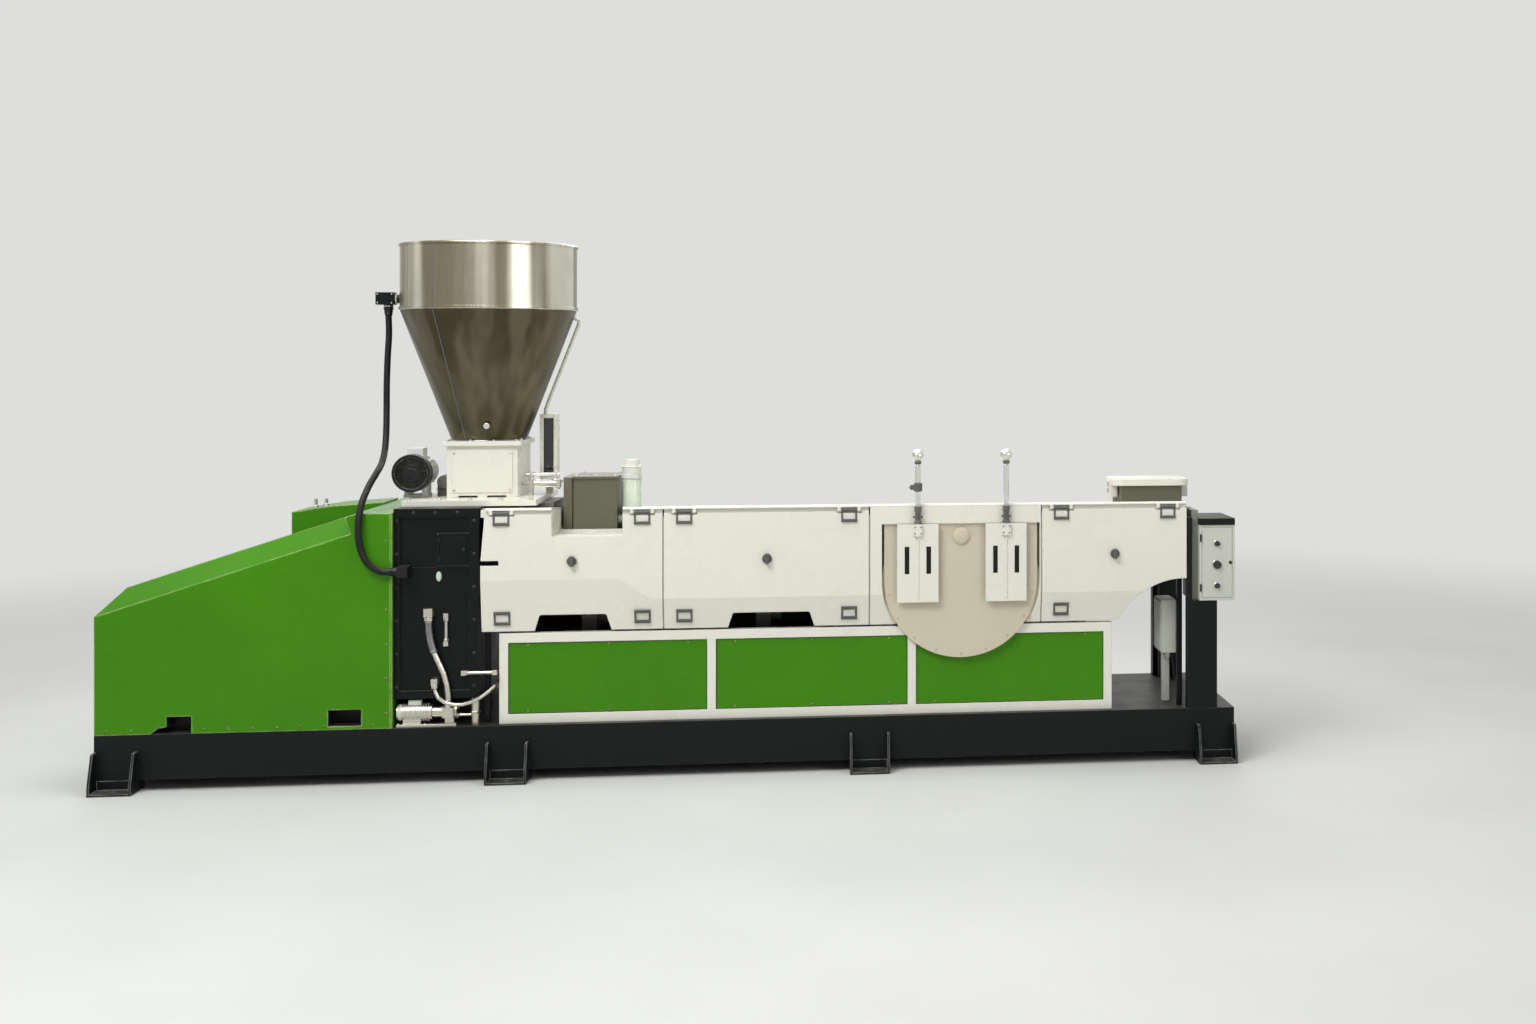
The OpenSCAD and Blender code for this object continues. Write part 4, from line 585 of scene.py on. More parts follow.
def add_riser_sleeve():
    """Braided sleeve with a ferrule at each end, over the upper half of the oil pump's riser pipe."""
    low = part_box("gearbox_cover")[0]
    y = RISER_Y + 0.0005
    route = ((0.179, 0.398), (0.180, 0.365), (0.188, 0.300), (0.206, 0.240))
    shape = Shape().sweep([Vector((low.x + x, y, low.z + z)) for x, z in route], 0.0195, 24)
    ferrule = [(0, 0.0198), (0.002, 0.0215), (0.010, 0.0215), (0.012, 0.0198)]
    for x, z in ((0.179, 0.390), (0.2045, 0.240)):
        shape.turned((low.x + x, y, low.z + z), Z, ferrule, 24)
    shape.piece("riser_sleeve", "steel")


def hex_nut(shape, at, way, radius, length):
    """A pipe nut with chamfered ends."""
    edge = radius * 0.12
    shape.turned(at, way, [(0, radius - edge), (edge, radius), (length - edge, radius), (length, radius - edge)], 6)


def add_pump_details():
    """Fins and end shield of the pump's motor, bolts of its foot and head, and the nuts of the oil pipes."""
    gear_low, gear_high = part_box("gearbox_cover")
    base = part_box("base_rails")[1].z
    x0, y, z = gear_low.x + 0.015, -0.465, base + 0.070
    fins, nuts = Shape(), Shape()
    fin = [(0, 0.042), (0.001, 0.0465), (0.003, 0.0465), (0.004, 0.042)]
    for k in range(11):
        fins.turned((x0 + 0.030 + k * 0.0125, y, z), X, fin, 32)
    fins.turned((x0 - 0.001, y, z), X, [(0, 0.030), (0.001, 0.0415), (0.022, 0.0435), (0.024, 0.0425)], 32)
    fins.block((x0 + 0.055, y - 0.022, z + 0.038), (x0 + 0.120, y + 0.022, z + 0.066), 0.003)
    fins.piece("pump_motor_fins", "pale_grey")
    head_x0, head_x1, bolt_circle = x0 + 0.225, x0 + 0.300, 0.031
    for end, way in ((head_x0, -X), (head_x1, X)):
        for a in circle(6, 0.3):
            nuts.bolt((end, y + bolt_circle * math.cos(a), z + bolt_circle * math.sin(a)), way, 0.0042)
    for x in (x0 + 0.008, x0 + 0.142, head_x1 - 0.008):
        nuts.bolt((x, y - 0.037, base + 0.014), Z, 0.005)
    tube_x, tube_y = gear_low.x + 0.263, GEAR_FACE_Y - 0.012
    pipe_nuts = [
        ((gear_low.x + 0.278, RISER_Y, z + 0.029), Z, 0.0225, 0.022),
        ((gear_low.x + 0.1792, RISER_Y, gear_low.z + 0.424), -Z, 0.0225, 0.022),
        ((gear_low.x + 0.2155, DRAIN_Y, gear_low.z + 0.077), -Z, 0.0165, 0.018),
        ((tube_x, tube_y, gear_low.z + 0.295), Z, 0.0145, 0.014),
        ((tube_x, tube_y, gear_low.z + 0.414), -Z, 0.0145, 0.014),
        ((gear_high.x - 0.064, -0.512, base + 0.276), X, 0.0130, 0.014),
        ((gear_high.x - 0.025, y, base + 0.058), Z, 0.027, 0.014),
    ]
    for at, way, radius, length in pipe_nuts:
        hex_nut(nuts, at, way, radius, length)
    nuts.piece("pump_nuts", "fittings")


# Top plate, feeder and gauge

def add_top_plate_bolts():
    low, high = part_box("top_plate")
    shape = Shape()
    edge, steps = 0.03, 4
    for side in (-1, 1):
        for k in range(steps + 1):
            x = low.x + edge + k * (high.x - low.x - 2 * edge) / steps
            shape.bolt((x, side * (high.y - 0.028), high.z), Z, 0.009)
    shape.piece("top_plate_bolts", "fittings")


def add_feeder_cowl():
    """Black fan cowl with its blades, wire guard and hub."""
    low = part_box("feeder_motor")[0]
    centre = Vector((low.x + 0.100, low.y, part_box("top_plate")[1].z + 0.135))
    start = centre + Y * 0.060
    cowl, guard = Shape(), Shape()
    rim = [(0, 0.0985), (0.001, 0.1012), (0.0585, 0.1012), (0.0608, 0.099), (0.0608, 0.086), (0.0595, 0.0835),
           (0.0425, 0.0835), (0.0425, 0.0985)]
    cowl.turned(start, FRONT, rim, 64, loop=True)
    cowl.turned(start, FRONT, [(0.0420, 0.084), (0.0430, 0.084)], 48)
    cowl.turned(start, FRONT, [(0.0425, 0.0490), (0.0565, 0.0490), (0.0590, 0.0465), (0.0590, 0.034)], 40)
    for a in circle(7):
        blade = [Vector((math.cos(a + turn) * r, 0, math.sin(a + turn) * r)) for r, turn in
                 ((0.050, -0.20), (0.081, -0.10), (0.081, 0.16), (0.050, 0.10))]
        cowl.prism([centre + Y * 0.0155 + point for point in blade], Y * -0.003)
    cowl.piece("feeder_cowl", "black_steel")
    for radius in (0.054, 0.062, 0.070, 0.078):
        guard.ring(centre + Y * 0.0045, FRONT, radius, 0.0013, 48)
    for a in circle(8, 0.2):
        way = Vector((math.cos(a), 0, math.sin(a)))
        spoke = centre + Y * 0.0035
        guard.rod(spoke + way * 0.047, spoke + way * 0.0835, 0.0014, 0.0002, 8)
    guard.turned(centre + Y * 0.001, FRONT, [(0, 0.030), (0.0005, 0.031), (0.0012, 0.030), (0.0018, 0.012)], 32)
    guard.piece("feeder_guard", "black_steel")


def add_gauge_details():
    """Dark glass in the front and the back of the sight gauge, with the screws of its frames."""
    plate_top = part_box("top_plate")[1].z
    x, y0, y1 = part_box("feed_box")[1].x + 0.1075, 0.020, 0.110
    z0, z1 = plate_top + 0.094, plate_top + 0.418
    glass, trim = Shape(), Shape()
    for a, b in ((y0 + 0.0025, y0 + 0.0085), (y1 - 0.0085, y1 - 0.0025)):
        glass.block((x - 0.0265, a, z0 + 0.0005), (x + 0.0265, b, z1 - 0.0005), 0.001)
    glass.piece("gauge_glass", "dark_glass", slot="button_plastic")
    for face, way in ((y0, FRONT), (y1, Y)):
        for z in (z0 - 0.011, z1 + 0.011):
            for dx in (-0.030, 0.030):
                trim.screw((x + dx, face, z), way, 0.005)
        for k in range(1, 6):
            z = z0 + k * (z1 - z0) / 6
            for dx in (-0.037, 0.037):
                trim.screw((x + dx, face, z), way, 0.004)
    trim.piece("gauge_screws", "fittings")


def add_gate_details():
    """Tie rods, nuts and port fittings on the gate's cylinder."""
    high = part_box("gate_cylinder")[1]
    y, z = -0.060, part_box("top_plate")[1].z + 0.063
    x0, x1 = high.x - 0.165, high.x
    shape = Shape()
    corner = 0.018
    for dy in (-corner, corner):
        for dz in (-corner, corner):
            shape.rod((x0 - 0.004, y + dy, z + dz), (x1 + 0.0005, y + dy, z + dz), 0.003, sides=10)
            hex_nut(shape, (x0, y + dy, z + dz), -X, 0.0055, 0.005)
    for x in (x0 + 0.011, x1 - 0.011):
        hex_nut(shape, (x, y, z - 0.032), Z, 0.008, 0.010)
    guide_z = z + 0.050
    shape.rod((x0 - 0.026, y, guide_z), (x1 - 0.006, y, guide_z), 0.012)
    for x in (x0 + 0.004, x1 - 0.034):
        shape.block((x, y - 0.016, z + 0.020), (x + 0.016, y + 0.016, guide_z + 0.016), 0.002)
    shape.piece("gate_guide_rod", "polished", slot="fittings")


# Hopper

def add_hopper_details():
    """Weld seams and beads, flange bolts, feed box screws and the sampling boss's cap."""
    cone_low, cone_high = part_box("hopper_cone")
    wall_low, wall_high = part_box("hopper_cylinder")
    box_low, box_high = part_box("feed_box")
    centre = (wall_low.x + wall_high.x) / 2
    top_r, foot_r = 0.465, 0.198
    seams, bolts, boss = Shape(), Shape(), Shape()
    for angle in (-2.05, 0.95):
        way = Vector((math.cos(angle), math.sin(angle), 0))
        at = Vector((centre, 0, 0))
        wall_at = at + way * (top_r + 0.0005)
        seams.sweep([wall_at + Z * z for z in (cone_high.z + 0.014, wall_high.z - 0.020)], 0.0022, 8)
        seams.sweep([at + way * (foot_r + 0.001) + Z * (cone_low.z + 0.002),
                     at + way * (top_r + 0.0002) + Z * (cone_high.z - 0.002)], 0.0022, 8)
    seams.ring((centre, 0, cone_low.z + 0.002), Z, foot_r + 0.001, 0.004, 96)
    seams.piece("hopper_welds", "steel")
    boss.ring((centre, 0, cone_high.z + 0.001), Z, top_r + 0.0015, 0.004, 96)
    for side in (-1, 1):
        for k in range(4):
            bolts.bolt((centre - 0.180 + k * 0.120, side * 0.210, box_high.z), Z, 0.008)
        for y in (-0.120, 0.120):
            bolts.bolt((centre + side * 0.190, y, box_high.z), Z, 0.008)
        for x in (centre - 0.146, centre + 0.146):
            for z in (box_low.z + 0.040, box_high.z - 0.065):
                bolts.screw((x, side * 0.209, z), Y * side, 0.006)
    bolts.piece("hopper_bolts", "fittings")
    boss_up, boss_out = 0.083, 0.017
    wall_r = foot_r + (top_r - foot_r) * boss_up / (cone_high.z - cone_low.z)
    boss.turned((centre + 0.030, -wall_r - boss_out, cone_low.z + boss_up), FRONT,
                [(0, 0.0175), (0.006, 0.0175), (0.010, 0.0155), (0.012, 0.010), (0.0125, 0.004)], 28)
    boss.piece("hopper_boss_cap", "polished", slot="stainless")


def add_sensor_details():
    """Cover screws of the level sensor's head, its thread nut and its gland's nut."""
    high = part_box("hopper_sensor")[1]
    shape = Shape()
    x0, x1 = high.x - 0.131, high.x - 0.036
    for side in (-1, 1):
        for x in (x0 + 0.010, x1 - 0.010):
            for z in (high.z - 0.057, high.z - 0.010):
                shape.screw((x, side * 0.038, z), Y * side, 0.0045)
    hex_nut(shape, (x1 + 0.001, 0, high.z - 0.035), X, 0.029, 0.014)
    hex_nut(shape, (x0 + 0.060, 0, high.z - 0.081), Z, 0.0265, 0.013)
    shape.piece("sensor_trim", "fittings")


# Barrel

HEATERS = 6
HEATER_LENGTH = 0.250
CLAMP_Y = -0.1485


def clamp_bolt(shape, at, reach, rod_radius, grip, head):
    """An upright clamp screw with a head above and below."""
    shape.rod(at - Z * reach, at + Z * reach, rod_radius, sides=12)
    for way in (Z, -Z):
        shape.bolt(at + way * grip, way, head)


def add_heater_details():
    """Clamp bolts and end rims on each heater band."""
    low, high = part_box("heater_bands")
    axis_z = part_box("barrel")[0].z + 0.085
    pitch = (high.x - low.x - HEATER_LENGTH) / (HEATERS - 1)
    bolts, rims = Shape(), Shape()
    rim = [(0, 0.1345), (0, 0.1375), (0.004, 0.1375), (0.004, 0.1345)]
    for i in range(HEATERS):
        x0 = low.x + i * pitch
        for x in (x0 + 0.062, x0 + 0.188):
            clamp_bolt(bolts, Vector((x, CLAMP_Y, axis_z)), 0.024, 0.0045, 0.012, 0.007)
        for x in (x0 + 0.002, x0 + HEATER_LENGTH - 0.006):
            rims.turned((x, 0, axis_z), X, rim, 48, loop=True)
    bolts.piece("heater_bolts", "fittings")
    rims.piece("heater_rims", "heater_sheet")


# Guard doors

NOTCH_X0, NOTCH_X1 = -0.694, -0.331
HINGE_BAR_Z = 1.336
HANDLE_Z = 1.140
LATCH_Z = 0.842
LEAN_IN = 0.040
FITTING_T = 0.009
FITTING_PITCH = 0.056
FITTING_INSET = 0.063
FITTING_L = 0.084
LATCH_FOLDS = {1: (1.044, 0.9416), 2: (0.935, 0.935), 3: (0.935, None)}


def latch_screws(shape, x, panel_low, fold_z):
    """Two screws on each bar of a latch, square to the door's leaning part."""
    height = fold_z - panel_low.z
    tilt = Matrix.Rotation(math.atan2(LEAN_IN, height), 3, "X")
    foot = Vector((x, panel_low.y + LEAN_IN * (fold_z - LATCH_Z) / height, LATCH_Z))
    for dx in (-0.030, 0.030):
        for dz in (-FITTING_PITCH / 2, FITTING_PITCH / 2):
            shape.screw(foot + tilt @ Vector((dx, -FITTING_T, dz)), tilt @ FRONT, 0.0045)


def add_door_details():
    """Screws on each door's hinge bars and latches, and the rosette of its handle."""
    for i, folds in LATCH_FOLDS.items():
        low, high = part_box(f"guard_door_{i}")
        shape = Shape()
        face = low.y - FITTING_T
        starts = (low.x + FITTING_INSET, high.x - FITTING_INSET - FITTING_L)
        for x, fold_z in zip(starts, folds):
            for dx in (0.012, FITTING_L - 0.012):
                shape.screw((x + dx, face, HINGE_BAR_Z), FRONT, 0.0045)
            if fold_z:
                latch_screws(shape, x + FITTING_L / 2, low, fold_z)
        rosette = [(0, 0.0255), (0.003, 0.0255), (0.0045, 0.023), (0.005, 0.019)]
        shape.turned(((low.x + high.x) / 2, face, HANDLE_Z), FRONT, rosette, 32)
        shape.piece(f"door_{i}_screws", "door_steel", f"door_{i}", slot="black_steel")


GAPS = (-0.1245, 0.9575, 1.8835)
FIN = 0.005
FIN_BACK_Y, FIN_FRONT_Y, FIN_FOOT_Y = -0.434, -0.517, -0.478
FIN_LOW_Z, FIN_FOLD_Z, FIN_HIGH_Z = 0.775, 0.937, 1.365
STRIP_Y, STRIP_Z = (-0.512, -0.509), (1.370, 1.412)


def add_gap_strips():
    """White sheets behind the narrow gaps round the doors: upright fins at their ends and a strip along their tops."""
    shape = Shape()
    side = [(FIN_BACK_Y, FIN_HIGH_Z), (FIN_FRONT_Y, FIN_HIGH_Z), (FIN_FRONT_Y, FIN_FOLD_Z), (FIN_FOOT_Y, FIN_LOW_Z),
            (FIN_BACK_Y, FIN_LOW_Z)]
    for x in GAPS:
        shape.prism([(x, y, z) for y, z in side], X * FIN)
    for x0, x1 in ((GAPS[1], GAPS[1] + 0.014), (GAPS[2] - 0.008, GAPS[2] + FIN)):
        shape.block((x0, FIN_BACK_Y - 0.003, FIN_LOW_Z), (x1, FIN_BACK_Y, FIN_HIGH_Z))
    ends = [(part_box(f"guard_door_{i}")[0].x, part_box(f"guard_door_{i}")[1].x) for i in LATCH_FOLDS]
    first_x0, first_x1 = ends[0]
    beside_notch = [(NOTCH_X1 + 0.004, first_x1), (first_x0, NOTCH_X0 - 0.004)]
    for x0, x1 in beside_notch + ends[1:]:
        shape.block((x0, STRIP_Y[0], STRIP_Z[0]), (x1, STRIP_Y[1], STRIP_Z[1]))
    shape.piece("gap_strips", "white_paint")


# Panels

FRAME_BAR = 0.045


def panel_boxes():
    """Places of the three green panels, left to right, as (x0, x1)."""
    low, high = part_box("side_frames")
    starts = [low.x + FRAME_BAR, low.x + 1.115, low.x + 2.176]
    return list(zip(starts, [start - FRAME_BAR for start in starts[1:]] + [high.x - FRAME_BAR]))


def add_panel_details():
    """A dark rim painted as the shade round each panel, and a row of screws in its frame, front and rear."""
    low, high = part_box("front_panels")
    panel_shade_rims, screws = Shape(), Shape()
    for x0, x1 in panel_boxes():
        for side in (-1, 1):
            face = side * -low.y
            # Thin black rim at each panel's edge: painted shade where the panel sits back from its frame.
            panel_shade_rims.rim(rectangle(x0, x1, low.z, high.z), 0.004, face, face + side * 0.0015)
            for x in (x0 + 0.10, (x0 + x1) / 2, x1 - 0.10):
                for z in (low.z + 0.014, high.z - 0.014):
                    screws.screw((x, face, z), Y * side, 0.0055)
    panel_shade_rims.piece("panel_edge_shade", "black_steel")
    screws.piece("panel_screws", "green_paint")


# Filter section

BAY_Z = 1.005
BAY_RADII = (0.4245, 0.4135)
BAY_ARC = (-33, 46)
BACKING_Y = (-0.500, -0.4955)
COVER_SCREW_CIRCLE = 0.392
COVER_SCREWS = 9
ROD_Y = -0.544


def add_filter_details():
    """Black bars painted as the shade seen through the slide plates' slots, a backing behind the cover's gap, and the
    cover's knob and screws.
    """
    cover_low, cover_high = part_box("filter_cover")
    middle = (cover_low.x + cover_high.x) / 2
    face = cover_low.y + 0.008
    slot_shade, backing, knob, rivets = Shape(), Shape(), Shape(), Shape()
    # Black bars behind each slot of the slide plates: painted shade where the slots look dark.
    for node in ("slide_plate_left", "slide_plate_right"):
        low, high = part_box(node)
        for x in ((low.x + high.x) / 2 - 0.058, (low.x + high.x) / 2 + 0.058):
            slot_shade.block((x - 0.018, -0.530, 1.036), (x + 0.018, face + 0.001, 1.306), 0.001)
    slot_shade.piece("slide_slot_shade", "black_steel")
    start, end, steps = *BAY_ARC, 24
    band = [math.radians(start + (end - start) * k / steps) for k in range(steps + 1)]
    arcs = list(zip(BAY_RADII, (band, band[::-1])))
    for side in (-1, 1):
        edge = [(middle + side * r * math.cos(a), BAY_Z + r * math.sin(a)) for r, angles in arcs for a in angles]
        backing.plate(edge, *BACKING_Y)
    backing.piece("bay_backing", "beige_paint")
    knob.turned((middle, cover_low.y + 0.0005, 1.247), FRONT,
                [(0, 0.0455), (0.0008, 0.0455), (0.0012, 0.038), (0.0022, 0.036), (0.0024, 0.012), (0.0040, 0.010)], 48)
    knob.piece("cover_knob_ring", "beige_paint")
    for k in range(COVER_SCREWS):
        a = math.pi + math.pi * (k + 0.5) / COVER_SCREWS
        at = (middle + COVER_SCREW_CIRCLE * math.cos(a), face, BAY_Z + COVER_SCREW_CIRCLE * math.sin(a))
        rivets.screw(at, FRONT, 0.005)
    rivets.piece("cover_screws", "beige_paint")


def add_slide_details(node, body, sleeves, collar=None):
    """Chrome sleeves and ball on the lifting rod, its joint above the clamp, and the clamp's screws."""
    low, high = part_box(node)
    x = (low.x + high.x) / 2
    clamp_top, joint_z, ball_z = 1.3135, 1.318, high.z - 0.033
    bright, dark = Shape(), Shape()
    for start, end in sleeves:
        length = end - start
        sleeve = [(0, 0.0130), (0.002, 0.0155), (length - 0.002, 0.0155), (length, 0.0130)]
        bright.turned((x, ROD_Y, start), Z, sleeve, 32)
    bright.turned((x, ROD_Y, clamp_top), Z, [(0, 0.0114), (ball_z - 0.045 - clamp_top, 0.0114)], 28)
    bright.ball((x, ROD_Y, ball_z), 0.0335, 40)
    bright.piece(f"{node}_rod", "polished", body, slot="steel")
    neck = [(0, 0.0165), (0.002, 0.0175), (0.009, 0.0175), (0.014, 0.0220)]
    joint = [(0, 0.0190), (0.004, 0.0205), (0.010, 0.0205), (0.014, 0.0150), (0.060, 0.0150), (0.064, 0.0185),
             (0.088, 0.0185), (0.092, 0.0165)]
    dark.turned((x, ROD_Y, ball_z - 0.046), Z, neck, 28)
    dark.turned((x, ROD_Y, joint_z), Z, joint, 28)
    dark.rod((x - 0.026, ROD_Y, 1.352), (x + 0.026, ROD_Y, 1.352), 0.006)
    if collar:
        dark.turned((x, ROD_Y, collar), Z, [(0, 0.0200), (0.003, 0.0235), (0.041, 0.0235), (0.044, 0.0200)], 32)
        dark.block((x - 0.0415, ROD_Y - 0.010, collar + 0.008), (x - 0.015, ROD_Y + 0.010, collar + 0.034), 0.002)
        dark.bolt((x - 0.0415, ROD_Y, collar + 0.021), -X, 0.005)
    for dx in (-0.016, 0.016):
        for z in (1.264, 1.298):
            dark.screw((x + dx, ROD_Y - 0.014, z), FRONT, 0.0042)
    dark.piece(f"{node}_collars", "door_steel", body, slot="black_steel")


# Vent

NOTCH_FLOOR_Z = 1.268
ROOF_FRONT_Y, ROOF_FRONT_Z = -0.517, 1.414
ROOF_FALL = 0.085 / 1.034
LINER = 0.003


def add_notch_liner():
    """White walls and floor of the recess that the vent box stands in."""
    shape = Shape()
    front, back, box_front = -0.516, 0.132, -0.205
    for x, y1 in ((NOTCH_X0 - LINER, back), (NOTCH_X1, -0.185)):
        tops = [ROOF_FRONT_Z - ROOF_FALL * (y - ROOF_FRONT_Y) for y in (front, y1)]
        wall = [(x, front, NOTCH_FLOOR_Z), (x, y1, NOTCH_FLOOR_Z), (x, y1, tops[1]), (x, front, tops[0])]
        shape.prism(wall, X * LINER)
    for x1, y0, y1 in ((NOTCH_X1, front, box_front), (-0.630, box_front, back)):
        shape.block((NOTCH_X0, y0, NOTCH_FLOOR_Z - LINER), (x1, y1, NOTCH_FLOOR_Z), 0.0005)
    shape.piece("notch_liner", "white_paint")


def add_vent_details():
    """The trap's sleeve and ribbed cap, the lid's bolts, and the vent box's side cover and ledge."""
    low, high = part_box("vent_box")
    trap_low, trap_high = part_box("vent_trap")
    x = trap_high.x - 0.057
    y = (trap_low.y + trap_high.y) / 2
    sleeve, cap, bolts, cover, ledge = (Shape() for _ in range(5))
    sleeve.turned((x, y, trap_low.z + 0.026), Z, [(0, 0.0525), (0.002, 0.0535), (0.276, 0.0535), (0.278, 0.0525)], 48)
    sleeve.piece("trap_sleeve", "trap_sleeve", slot="pale_grey")
    top = trap_high.z
    cap.turned((x, y, top - 0.042), Z,
               [(0, 0.0535), (0.004, 0.0540), (0.008, 0.0520), (0.009, 0.0415), (0.036, 0.0410), (0.0415, 0.037),
                (0.0418, 0.010)], 48)
    for a in circle(12):
        rib = Vector((x + 0.0412 * math.cos(a), y + 0.0412 * math.sin(a), top - 0.030))
        cap.rod(rib, rib + Z * 0.022, 0.0022, 0.0006, 8)
    cap.piece("trap_cap", "white_paint")
    for side in (-1, 1):
        for k in range(3):
            bolt_x = low.x + 0.02 + k * (high.x - low.x - 0.04) / 2
            bolts.bolt((bolt_x, (low.y + high.y) / 2 + side * 0.148, high.z), Z, 0.0075)
    bolts.piece("vent_lid_bolts", "fittings")
    cover.block((low.x - 0.045, -0.200, NOTCH_FLOOR_Z + 0.006), (low.x + 0.002, 0.120, high.z - 0.004), 0.003)
    cover.piece("vent_side_cover", "olive_paint")
    ledge_top = NOTCH_FLOOR_Z + 0.008
    ledge.block((low.x - 0.060, -0.262, NOTCH_FLOOR_Z), (NOTCH_X1 - 0.006, -0.198, ledge_top), 0.001)
    ledge.block((low.x - 0.060, -0.200, NOTCH_FLOOR_Z), (low.x + 0.002, 0.126, ledge_top), 0.001)
    ledge.piece("vent_ledge", "pale_grey")


# Outlet end

def add_control_details():
    """Bezels and caps of the three buttons, and the control box's hinge rods and lock."""
    box_low, box_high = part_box("control_box")
    face = box_low.y
    middle = (box_low.x + box_high.x) / 2
    bezels, lock, caps = Shape(), Shape(), Shape()
    for k, radius in enumerate((0.014, 0.022, 0.014)):
        at = (middle, face, box_low.z + 0.080 + k * 0.115)
        bezels.turned(at, FRONT, [(0, radius + 0.007), (0.003, radius + 0.007), (0.005, radius + 0.004),
                                  (0.005, radius + 0.0005), (0, radius + 0.0005)], 36, loop=True)
        caps.turned((at[0], face - 0.0135, at[2]), FRONT,
                    [(0, radius + 0.0006), (0.0010, radius), (0.0018, radius - 0.003), (0.0018, radius * 0.4)], 36)
    bezels.piece("button_bezels", "fittings")
    caps.piece("button_caps", "dark_glass", slot="button_plastic")
    hinge_x, hinge_y = box_low.x + 0.006, face - 0.004
    for z in (box_low.z + 0.07, box_high.z - 0.07):
        lock.rod((hinge_x, hinge_y, z - 0.02), (hinge_x, hinge_y, z + 0.02), 0.005, sides=14)
    lock.turned((box_high.x - 0.024, face, (box_low.z + box_high.z) / 2), FRONT,
                [(0, 0.009), (0.003, 0.009), (0.004, 0.0075), (0.004, 0.003), (0.002, 0.003)], 24)
    lock.piece("control_box_hinges", "black_steel")


def add_outlet_details():
    """Heater bands on the melt pipe with their clamps, and the junction box's cover."""
    low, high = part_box("outlet_flange")
    axis_z = (low.z + high.z) / 2
    bands, bolts, cover = Shape(), Shape(), Shape()
    band = [(0, 0.0895), (0, 0.0960), (0.002, 0.0980), (0.118, 0.0980), (0.120, 0.0960), (0.120, 0.0895)]
    for x in (2.030, 2.210, 2.390):
        bands.turned((x, 0, axis_z), X, band, 48, loop=True)
        bands.block((x + 0.02, -0.122, axis_z - 0.010), (x + 0.10, -0.092, axis_z + 0.010), 0.003)
        for dx in (0.035, 0.085):
            bolts.rod((x + dx, -0.108, axis_z - 0.022), (x + dx, -0.108, axis_z + 0.022), 0.004, sides=12)
            bolts.bolt((x + dx, -0.108, axis_z + 0.010), Z, 0.0065)
    bands.piece("melt_pipe_heaters", "heater_sheet")
    bolts.piece("melt_pipe_bolts", "fittings")
    box_low, box_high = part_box("junction_box")
    y0, y1, z0, z1 = box_low.y, box_high.y, box_high.z - 0.290, box_high.z
    cover.block((box_high.x - 0.002, y0 + 0.004, z0 + 0.004), (box_high.x + 0.010, y1 - 0.004, z1 - 0.004), 0.003)
    for y in (y0 + 0.016, y1 - 0.016):
        for z in (z0 + 0.016, z1 - 0.016):
            cover.screw((box_high.x + 0.010, y, z), X, 0.005)
    cover.piece("junction_cover", "grey_paint")


def add_cap_details():
    """Catch plates with their rings at both ends of the cap box's lid."""
    low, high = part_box("cap_lid")
    shape = Shape()
    y = (low.y + high.y) / 2
    for x, side in ((low.x, -1), (high.x, 1)):
        shape.block((x, y - 0.020, high.z - 0.085), (x + side * 0.004, y + 0.020, high.z - 0.020), 0.001)
        shape.ring((x + side * 0.006, y, high.z - 0.060), X, 0.012, 0.0022, 24)
    shape.piece("cowl_catches", "fittings")


# Rear guard

def add_rear_seams():
    """Cover strips over the joints of the rear sheet, with their screws."""
    low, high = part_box("rear_guard")
    fold_z, half, thick, past_door = 0.935, 0.020, 0.003, 0.0035
    strips, screws = Shape(), Shape()
    joints = [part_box("guard_door_1")[1].x + past_door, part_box("guard_door_2")[1].x + past_door,
              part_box("guard_door_3")[0].x - past_door]
    for x in joints:
        x0, x1 = x - half, x + half
        for y0, z0, z1 in ((high.y, fold_z, high.z), (high.y - LEAN_IN, low.z, fold_z)):
            face = [(x0, y0, z0), (x1, y0, z0), (x1, high.y, z1), (x0, high.y, z1)]
            strips.prism(face, Y * thick)
        for k in range(5):
            screws.screw((x, high.y + thick, fold_z + 0.04 + k * 0.078), Y, 0.0055)
    strips.piece("rear_seam_strips", "white_paint")
    screws.piece("rear_seam_screws", "fittings")


add_hood_details()
add_hood_vent_details()
add_gearbox_details()
add_riser_sleeve()
add_pump_details()
add_top_plate_bolts()
add_feeder_cowl()
add_gauge_details()
add_gate_details()
add_hopper_details()
add_sensor_details()
add_heater_details()
add_door_details()
add_gap_strips()
add_panel_details()
add_filter_details()
add_slide_details("slide_plate_left", "slide_left", [(1.416, 1.490), (1.534, 1.628)], collar=1.490)
add_slide_details("slide_plate_right", "slide_right", [(1.416, 1.628)])
add_notch_liner()
add_vent_details()
add_control_details()
add_outlet_details()
add_cap_details()
add_rear_seams()

# Studio: pale floor that fades into the background, soft lamps

BACKGROUND = linear(222, 223, 221)
FLOOR = linear(205, 206, 202)
FLOOR_HALF = 60.0
FADE_START, FADE_END = 4.5, 12.0
SKY_TINT = (0.95, 0.97, 1, 1)
SKY_STRENGTH = 0.27


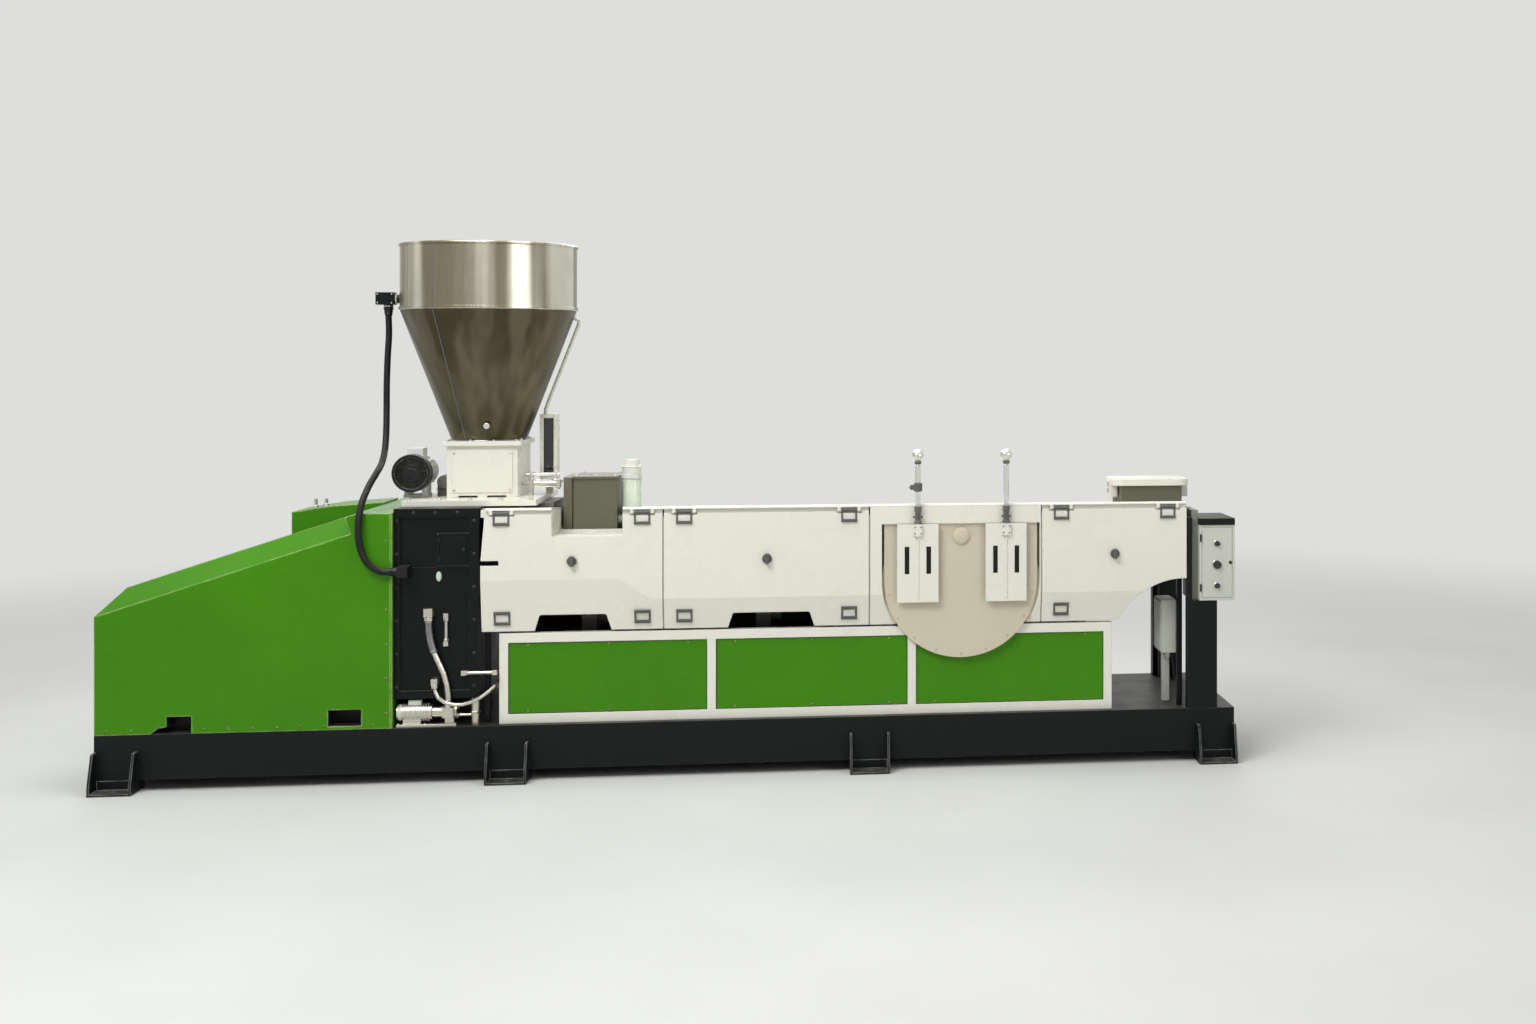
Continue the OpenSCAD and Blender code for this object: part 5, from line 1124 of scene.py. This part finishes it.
def add_floor():
    corners = [(-FLOOR_HALF, -FLOOR_HALF, 0), (FLOOR_HALF, -FLOOR_HALF, 0), (FLOOR_HALF, FLOOR_HALF, 0),
               (-FLOOR_HALF, FLOOR_HALF, 0)]
    mesh = bpy.data.meshes.new("floor")
    mesh.from_pydata(corners, [], [(0, 1, 2, 3)])
    floor = bpy.data.objects.new("floor", mesh)
    bpy.context.scene.collection.objects.link(floor)
    g = Graph("floor")
    tone = g.mix(g.ramp(g.noise(0.8, 6), 0.3, 0.7), shade(FLOOR, 0.97), shade(FLOOR, 1.03))
    shader = g.add("ShaderNodeBsdfPrincipled", {"Base Color": tone, "Roughness": 0.6})
    glow = g.add("ShaderNodeEmission", {"Color": BACKGROUND, "Strength": 1.0})
    distance = g.add("ShaderNodeVectorMath", {0: g.coords}, operation="LENGTH").outputs["Value"]
    fade = g.add("ShaderNodeMixShader", {0: g.ramp(distance, FADE_START, FADE_END)})
    g.tree.links.new(shader.outputs[0], fade.inputs[1])
    g.tree.links.new(glow.outputs[0], fade.inputs[2])
    g.tree.links.new(fade.outputs[0], g.out.inputs[0])
    mesh.materials.append(g.material)


def add_lamp(name, place, target, size, power):
    data = bpy.data.lights.new(name, "AREA")
    data.shape = "RECTANGLE"
    data.size, data.size_y = size
    data.energy = power
    lamp = bpy.data.objects.new(name, data)
    lamp.location = place
    lamp.rotation_euler = (Vector(target) - Vector(place)).to_track_quat("-Z", "Y").to_euler()
    bpy.context.scene.collection.objects.link(lamp)


def add_world():
    """A soft white sky for light; the camera, metal and glass see the plain background."""
    world = bpy.data.worlds.new("studio")
    world.use_nodes = True
    tree = world.node_tree
    tree.nodes.clear()
    path = tree.nodes.new("ShaderNodeLightPath")
    seen = path.outputs["Is Camera Ray"]
    for kind in ("Is Glossy Ray", "Is Transmission Ray"):
        either = tree.nodes.new("ShaderNodeMath")
        either.operation = "MAXIMUM"
        tree.links.new(seen, either.inputs[0])
        tree.links.new(path.outputs[kind], either.inputs[1])
        seen = either.outputs[0]
    shown = tree.nodes.new("ShaderNodeBackground")
    shown.inputs[0].default_value = BACKGROUND
    light = tree.nodes.new("ShaderNodeBackground")
    light.inputs[0].default_value = SKY_TINT
    light.inputs[1].default_value = SKY_STRENGTH
    choose = tree.nodes.new("ShaderNodeMixShader")
    out = tree.nodes.new("ShaderNodeOutputWorld")
    tree.links.new(seen, choose.inputs[0])
    tree.links.new(light.outputs[0], choose.inputs[1])
    tree.links.new(shown.outputs[0], choose.inputs[2])
    tree.links.new(choose.outputs[0], out.inputs[0])
    bpy.context.scene.world = world


add_floor()
add_world()
add_lamp("key", (-3.5, -6.0, 8.0), (0, 0, 0.8), (5.0, 3.0), 590)
add_lamp("fill", (7.0, -7.0, 4.0), (0.5, 0, 0.8), (4.0, 3.0), 130)
add_lamp("top", (0, -1.0, 8.5), (0, 0, 0.5), (9.0, 4.0), 430)
add_lamp("back", (0, 8.0, 6.0), (0, 0, 1.0), (8.0, 3.0), 300)

bpy.context.scene.view_settings.view_transform = "Standard"

bpy.context.view_layer.update()
